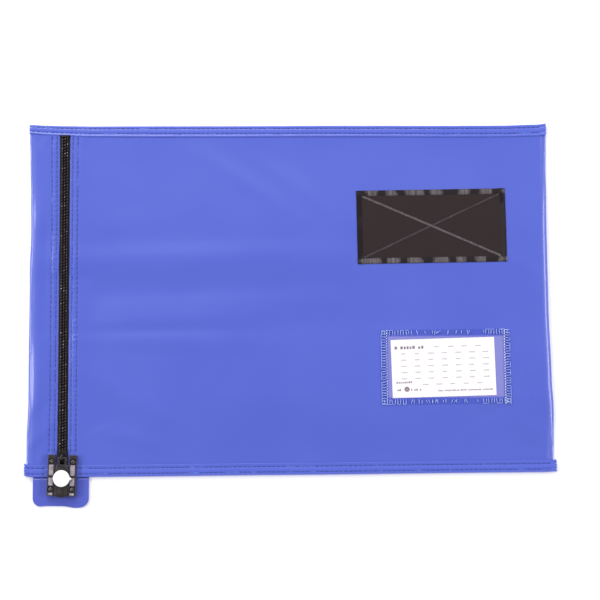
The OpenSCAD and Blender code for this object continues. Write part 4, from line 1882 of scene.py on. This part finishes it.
@dataclass
class Trim:
    """A rectangle sewn to the front: its own plane of coordinates, turned a little."""

    plan: Plan
    sheet: BodySheet
    node: str
    width: float
    height: float
    turn: float
    border: float = 5.5

    def placed(self, points: np.ndarray) -> np.ndarray:
        """Points of the rectangle's own plane, moved to the front."""
        middle = self.plan.middle(self.node)
        c, s = math.cos(math.radians(self.turn)), math.sin(math.radians(self.turn))
        out = np.array(points, float)
        out[..., 0] = middle[0] + points[..., 0] * c - points[..., 1] * s
        out[..., 1] = middle[1] + points[..., 0] * s + points[..., 1] * c
        return out

    def seated(self, points: np.ndarray) -> np.ndarray:
        """The same, with heights counted from the front's own face under them."""
        out = self.placed(points)
        out[..., 2] += self.sheet.front(out[..., 0], out[..., 1])
        return out

    def grid(self, step: float, inset: float = 0.0) -> tuple[np.ndarray, np.ndarray]:
        """A grid over the rectangle, with close stations at its edges."""
        xs = lipped(-self.width / 2 + inset, self.width / 2 - inset, 0.6, step)
        ys = lipped(-self.height / 2 + inset, self.height / 2 - inset, 0.6, step)
        return np.meshgrid(xs, ys)

    def round_the_edge(self, pitch: float) -> list[tuple[np.ndarray, np.ndarray, np.ndarray]]:
        """Places round the rectangle, side by side from the top's left end.

        Args:
            pitch: The step from place to place.

        Returns:
            For each side its places, its inward direction and the direction along it.
        """
        w, h = self.width / 2, self.height / 2
        runs = []
        for start, end, inward in (
            ((-w, h), (w, h), (0, -1)),
            ((w, h), (w, -h), (-1, 0)),
            ((w, -h), (-w, -h), (0, 1)),
            ((-w, -h), (-w, h), (1, 0)),
        ):
            a, b = np.array(start, float), np.array(end, float)
            length = np.linalg.norm(b - a)
            share = (np.arange(int(length / pitch)) + 0.5) * pitch / length
            runs.append((a + (b - a) * share[:, None], np.array(inward, float), (b - a) / length))
        return runs


@dataclass
class WritingPatch(Trim):
    """The dark patch with its satin border and crossed bars of stitching."""

    satin_pitch: float = 0.62
    bar_width: float = 2.0

    def cloth(self) -> bpy.types.Object:
        """The patch's own cloth."""
        x, y = self.grid(3.0)
        reach = np.minimum(self.width / 2 - np.abs(x), self.height / 2 - np.abs(y))
        pressed = 0.18 * eased(1 - np.abs(reach - self.border / 2) / (self.border / 2 + 0.4))
        quilt = 0.22 * hump(x, 60.0) * hump(y, 26.0)
        top = 0.55 - pressed + quilt - roll_off(reach, 0.35)
        outer = self.seated(np.stack([x, y, top], -1))
        inner = self.seated(np.stack([x, y, np.full_like(x, 0.02)], -1))
        piece = Shape(self.plan).shell(outer, inner).piece(
            "patch_cloth", PATCH_DARK, Slot.PATCH, Body.BAG, ["writing_patch"]
        )
        return piece

    def satin(self, name: str, finish: Finish, runs: slice) -> bpy.types.Object:
        """The threads laid side by side across the patch's edge, on two facing sides.

        Args:
            name: The piece's name.
            finish: Its finish.
            runs: Which of the four sides, in their order round the patch.

        Returns:
            The piece.
        """
        shape = Shape(self.plan)
        rng = np.random.default_rng(7)
        for edge, inward, along in self.round_the_edge(self.satin_pitch)[runs]:
            count = len(edge)
            slip = rng.normal(0, 0.10, (count, 2))
            slant = rng.normal(0, 0.12, count)
            reach = self.border - 0.25
            first = edge + inward * (0.1 + slip[:, :1])
            last = edge + inward * (reach + slip[:, 1:]) + along * slant[:, None]
            z = np.full((count, 1), 0.42)
            shape.threads(
                self.seated(np.hstack([first, z])), self.seated(np.hstack([last, z])), 0.34, 0.3
            )
        return shape.piece(
            name, finish, Slot.DARK_THREAD, Body.BAG, ["patch_stitching"] * (runs.start == 0), crisp=80
        )

    def bar(self, side: int, finish: Finish) -> bpy.types.Object:
        """One of the crossed bars, in slanting threads.

        Args:
            side: 1 for the bar that runs down to the right and -1 for the other.
            finish: Its finish.

        Returns:
            The bar.
        """
        w, h = self.width / 2 - self.border, self.height / 2 - self.border
        a, b = np.array([-w, side * h]), np.array([w, -side * h])
        length = np.linalg.norm(b - a)
        along = (b - a) / length
        across = np.array([-along[1], along[0]])
        share = np.arange(0.4, length, 0.75)[:, None]
        rng = np.random.default_rng(11 + side)
        slip = rng.normal(0, 0.09, (len(share), 1))
        lean = along * 0.55
        middle = a + along * share
        half = self.bar_width / 2
        first = middle - across * (half + slip) - lean
        last = middle + across * (half - slip) + lean
        z = np.full((len(share), 1), 0.60)
        shape = Shape(self.plan)
        lift = 0.22 * hump(first[:, :1], 60.0) * hump(first[:, 1:], 26.0)
        shape.threads(
            self.seated(np.hstack([first, z + lift])), self.seated(np.hstack([last, z + lift])), 0.30, 0.2
        )
        name = "patch_bar_down" if side > 0 else "patch_bar_up"
        return shape.piece(name, finish, Slot.DARK_THREAD, Body.BAG, crisp=80)

    def build(self) -> None:
        """Makes the patch and its stitching."""
        self.cloth()
        self.satin("patch_border_thread", SATIN_DARK, slice(0, None, 2))
        # Side borders and the second bar take painted-shade copies of the thread, the first bar a
        # painted-lit one.
        self.satin("patch_side_thread", SATIN_SIDE_SHADED, slice(1, None, 2))
        self.bar(1, SATIN_BAR_LIT)
        self.bar(-1, SATIN_BAR_SHADED)


@dataclass
class AddressWindow(Trim):
    """The clear sheet over the address card, sewn down with clear thread."""

    pitch: float = 2.45
    corner_r: float = 2.5
    slit: float = 2.4

    def pane(self) -> bpy.types.Object:
        """The clear sheet, standing off the card and pressed down at its border."""
        x, y = self.grid(1.6)
        w, h, r = self.width / 2, self.height / 2, self.corner_r
        cx, cy = np.maximum(np.abs(x) - (w - r), 0), np.maximum(np.abs(y) - (h - r), 0)
        over = np.hypot(cx, cy)
        pull = np.where(over > r, r / np.maximum(over, 1e-9), 1.0)
        x = np.where(over > r, np.sign(x) * (w - r + cx * pull), x)
        y = np.where(over > r, np.sign(y) * (h - r + cy * pull), y)
        reach = np.minimum(w - np.abs(x), h - np.abs(y))
        inside = eased((reach - self.border + 1.4) / 1.8)
        lift = 0.12 + 0.46 * inside + 0.03 * inside * np.sin(x / 19.0 + y / 24.0)
        line = h - self.border - self.slit
        ridge = 0.45 * hump(y - line, 0.5) * (np.abs(x) < w - self.border)
        tuck = 0.12 * np.sin(x / self.pitch * TURN) * (1 - inside) * (np.abs(y) > h - self.border)
        top = lift + 0.34 + ridge + tuck * 0.6 - roll_off(reach, 0.3) * 0.6
        outer = self.seated(np.stack([x, y, top], -1))
        inner = self.seated(np.stack([x, y, lift + ridge], -1))
        place = self.plan.middle(self.node)
        finish = replace(PANE_CLEAR, middle=(float(place[0]), float(place[1]) + self.plan.middle_y))
        piece = Shape(self.plan).shell(outer, inner).piece(
            "window_pane", finish, Slot.CLEAR, Body.BAG, ["window_sheet"]
        )
        return piece

    def thread(self) -> bpy.types.Object:
        """Stitches across the border, tidy at the corners and straggling in mid length."""
        shape, knots = Shape(self.plan), Shape(self.plan)
        rng = np.random.default_rng(23)
        for side, (edge, inward, along) in enumerate(self.round_the_edge(self.pitch)):
            count = len(edge)
            tidy = np.ones(count)
            if side in (0, 2):
                tidy = eased((np.abs(edge[:, 0]) - 30) / 12)
            slant = rng.normal(0, 0.25, count) + (1 - tidy) * rng.normal(0, 1.1, count)
            short = (1 - tidy) * rng.uniform(0, 2.4, count)
            first = edge + inward * (0.5 + short[:, None] * 0.5)
            last = edge + inward * (self.border - 0.4 - short[:, None] * 0.5) + along * slant[:, None]
            z = np.full((count, 1), 0.62)
            keep = rng.uniform(0, 1, count) < 0.55 + 0.45 * tidy
            shape.threads(
                self.seated(np.hstack([first, z]))[keep], self.seated(np.hstack([last, z]))[keep], 0.38, 0.3
            )
            step = edge + along * self.pitch
            z_low = np.full((count, 1), 0.58)
            loop = (rng.uniform(0, 1, count) < 0.75) & (tidy > 0.5)
            outer_a = self.seated(np.hstack([edge + inward * 0.45, z_low]))[loop]
            outer_b = self.seated(np.hstack([step + inward * 0.45, z_low]))[loop]
            shape.threads(outer_a, outer_b, 0.30, 0.2)
            # Knots at the inner edge of the side borders, painted white as glints where light catches the
            # needle holes; bigger on the right side, where the glints are brighter.
            if side in (1, 3):
                knot = edge + inward * (self.border - 0.1) + along * 0.6
                ends = (np.hstack([knot, z + 0.1]), np.hstack([knot + along * 1.0, z + 0.1]))
                radius = 0.50 if side == 1 else 0.32
                knots.threads(self.seated(ends[0]), self.seated(ends[1]), radius, 0.3)
        knots.piece("window_knot_thread", KNOT_GLINT, Slot.CLEAR_THREAD, Body.BAG, crisp=80)
        return shape.piece(
            "window_border_thread",
            CLEAR_SEWING,
            Slot.CLEAR_THREAD,
            Body.BAG,
            ["window_stitching"],
            crisp=80,
        )

    def build(self) -> None:
        """Makes the pane and its stitching."""
        self.pane()
        self.thread()


@dataclass
class AddressCard(Trim):
    """The white card with ruled rows of short dashes and blank strokes for its headings."""

    rows: int = 7
    first_row: float = 0.14
    row_gap: float = 0.107
    dash_w: float = 5.2
    dash_h: float = 1.0
    marks: tuple[tuple[float, float, float, float], ...] = (
        (0.035, 0.32, 0.862, 3.0),
        (0.040, 0.20, 0.265, 1.9),
        (0.045, 0.10, 0.135, 1.9),
        (0.18, 0.27, 0.135, 1.9),
        (0.44, 0.97, 0.105, 1.4),
    )

    def bowed(self, x: np.ndarray, y: np.ndarray, over: float) -> np.ndarray:
        """Points of the card's face, or a little over or under it."""
        return self.seated(np.stack([x, y, 0.4 + over + 0.06 * hump(x, 40.0)], -1))

    def card(self) -> bpy.types.Object:
        """The card itself, very slightly bowed."""
        xs = stations(-self.width / 2, self.width / 2, 5.0)
        ys = stations(-self.height / 2, self.height / 2, 5.0)
        x, y = np.meshgrid(xs, ys)
        return Shape(self.plan).shell(self.bowed(x, y, 0.0), self.bowed(x, y, -0.3)).piece(
            "card_sheet", CARD_WHITE, Slot.CARD, Body.CARD, [self.node]
        )

    def ruling(self) -> bpy.types.Object:
        """The ruled rows, each a line of short dashes."""
        shape = Shape(self.plan)
        w, h = self.width, self.height
        rng = np.random.default_rng(31)
        for row in range(self.rows):
            y = h / 2 - h * (self.first_row + self.row_gap * row)
            first = 0.42 if row == 0 else 0.30 if row == self.rows - 1 else 0.09
            for share in np.arange(first, 0.93, 0.132) + rng.normal(0, 0.006):
                x0 = -w / 2 + w * share
                half = self.dash_w * rng.uniform(0.8, 1.1) / 2
                x, yy = np.meshgrid([x0, x0 + 2 * half], [y - self.dash_h / 2, y + self.dash_h / 2])
                shape.shell(self.bowed(x, yy, 0.03), self.bowed(x, yy, -0.05))
        return shape.piece("card_ruling", RULE_GREY, Slot.CARD, Body.CARD)

    def blank_marks(self) -> bpy.types.Object:
        """Rows of plain strokes and a plain dot, where a printed card has its heading."""
        shape = Shape(self.plan)
        rng = np.random.default_rng(41)
        for first, last, up, tall in self.marks:
            at, end = self.width * (first - 0.5), self.width * (last - 0.5)
            middle = self.height * (up - 0.5)
            while at < end:
                wide = tall * rng.uniform(0.35, 0.8)
                high = tall * rng.uniform(0.6, 1.0)
                x, y = np.meshgrid([at, at + wide], [middle - tall / 2, middle - tall / 2 + high])
                shape.shell(self.bowed(x, y, 0.03), self.bowed(x, y, -0.05))
                at += wide + tall * (1.0 if rng.uniform() < 0.15 else 0.3)
        dot = np.array([self.width * (0.14 - 0.5), self.height * (0.145 - 0.5)])
        turn = np.arange(25) * TURN / 24
        radii = np.array([2.4, 1.4, 0.3])[:, None]
        x, y = dot[0] + radii * np.cos(turn), dot[1] + radii * np.sin(turn)
        shape.shell(self.bowed(x, y, 0.03), self.bowed(x, y, -0.05))
        return shape.piece("card_marks", MARK_BROWN, Slot.CARD, Body.CARD)

    def build(self) -> None:
        """Makes the card, its ruling and its strokes."""
        self.card()
        self.ruling()
        self.blank_marks()


# ---------------------------------------------------------------- the studio


@dataclass
class Studio:
    """The floor, the lights and the camera."""

    plan: Plan
    distance: float = 1.7
    tilt: float = 7.03
    roll: float = -0.42
    aim: tuple[float, float] = (10.3, -1.0)
    lens: float = 110.2
    world_light: float = 0.22

    def floor(self) -> None:
        """A wide plain floor just under the bag."""
        half = 3.0
        mesh = bpy.data.meshes.new("floor")
        z = -0.0005
        corners = [(-half, -half, z), (half, -half, z), (half, half, z), (-half, half, z)]
        mesh.from_pydata(corners, [], [(0, 1, 2, 3)])
        mesh.materials.append(FLOOR_WHITE.material())
        floor = bpy.data.objects.new("floor", mesh)
        bpy.context.scene.collection.objects.link(floor)

    def lamp(self, name: str, at: Colour, size: tuple[float, float], power: float, tone: Colour) -> None:
        """Adds a soft lamp that faces the bag.

        Args:
            name: The lamp's name.
            at: Its place, in metres.
            size: Its width and height, in metres.
            power: Its power in watts.
            tone: Its colour.
        """
        data = bpy.data.lights.new(name, "AREA")
        data.shape = "RECTANGLE"
        data.size, data.size_y = size
        data.energy = power
        data.color = tone
        lamp = bpy.data.objects.new(name, data)
        lamp.location = at
        lamp.rotation_mode = "QUATERNION"
        lamp.rotation_quaternion = (-Vector(at)).to_track_quat("-Z", "Y")
        bpy.context.scene.collection.objects.link(lamp)

    def lights(self) -> None:
        """Soft lamps over the bag and low at its sides, and an even sky."""
        self.lamp("top_lamp", (-0.6, 1.9, 1.7), (2.0, 1.0), 37.6, (1.0, 1.0, 1.0))
        self.lamp("left_lamp", (-2.1, 0.1, 1.5), (1.2, 0.6), 25.0, (1.0, 0.985, 1.0))
        self.lamp("right_lamp", (2.1, 0.12, 1.5), (1.4, 0.55), 29.0, (1.0, 0.985, 1.0))
        self.lamp("near_lamp", (0.0, -2.1, 1.5), (1.6, 1.0), 7.0, (1.0, 1.0, 1.0))
        world = bpy.data.worlds.new("sky")
        board = Board(world)
        way = board.node("ShaderNodeTexCoord", {}, {})
        apart = board.node("ShaderNodeSeparateXYZ", {}, {0: Signal(board, way.outputs["Generated"])})
        height = Signal(board, apart.outputs["Z"])
        upper, zenith = self.world_light, self.world_light * 0.7
        sky = board.ramp(height, [(0.0, 0.8), (0.35, 0.62), (0.75, upper), (1.0, zenith)])
        glow = board.node("ShaderNodeBackground", {}, {"Color": sky, "Strength": 1.0})
        board.node("ShaderNodeOutputWorld", {}, {"Surface": Signal(board, glow.outputs[0])})
        bpy.context.scene.world = world
        bpy.context.scene.view_settings.view_transform = "Standard"

    def camera(self) -> None:
        """A long lens almost straight over the bag, leaning from its bottom hem."""
        tilt, roll = math.radians(self.tilt), math.radians(self.roll)
        forward = Vector((0, math.sin(tilt), -math.cos(tilt)))
        over = Vector((0, math.cos(tilt), math.sin(tilt)))
        right = Vector((1, 0, 0)) * math.cos(roll) + over * math.sin(roll)
        up = right.cross(forward)
        aim = Vector((self.aim[0], self.aim[1] + self.plan.middle_y, 0)) * MM
        data = bpy.data.cameras.new("camera")
        data.lens, data.sensor_width = self.lens, 36.0
        camera = bpy.data.objects.new("camera", data)
        turn = Matrix((right, up, -forward)).transposed()
        camera.matrix_world = Matrix.Translation(aim - forward * self.distance) @ turn.to_4x4()
        bpy.context.scene.collection.objects.link(camera)
        bpy.context.scene.camera = camera

    def build(self) -> None:
        """Makes the whole studio."""
        self.floor()
        self.lights()
        self.camera()


def main() -> None:
    """Builds the bag piece by piece, then the studio round it."""
    logging.basicConfig(level=logging.INFO, format="%(name)s %(message)s")
    plan = Plan.read()
    settle = Settle(plan)
    sheet = BodySheet(plan, settle)
    sheet.build()
    for hem in Hem:
        binding = Binding(plan, settle, hem)
        binding.build()
        binding.sew()
    LockTab(plan).build()
    Zip(plan, sheet).build()
    Slider(plan).build()
    Lock(plan).build()
    WritingPatch(plan, sheet, "writing_patch", 138.0, 69.0, 0.6).build()
    AddressWindow(plan, sheet, "window_sheet", 119.0, 69.0, 0.3).build()
    AddressCard(plan, sheet, "address_card", 95.0, 53.5, 1.4).build()
    Studio(plan).build()


if __name__ == "__main__":
    main()
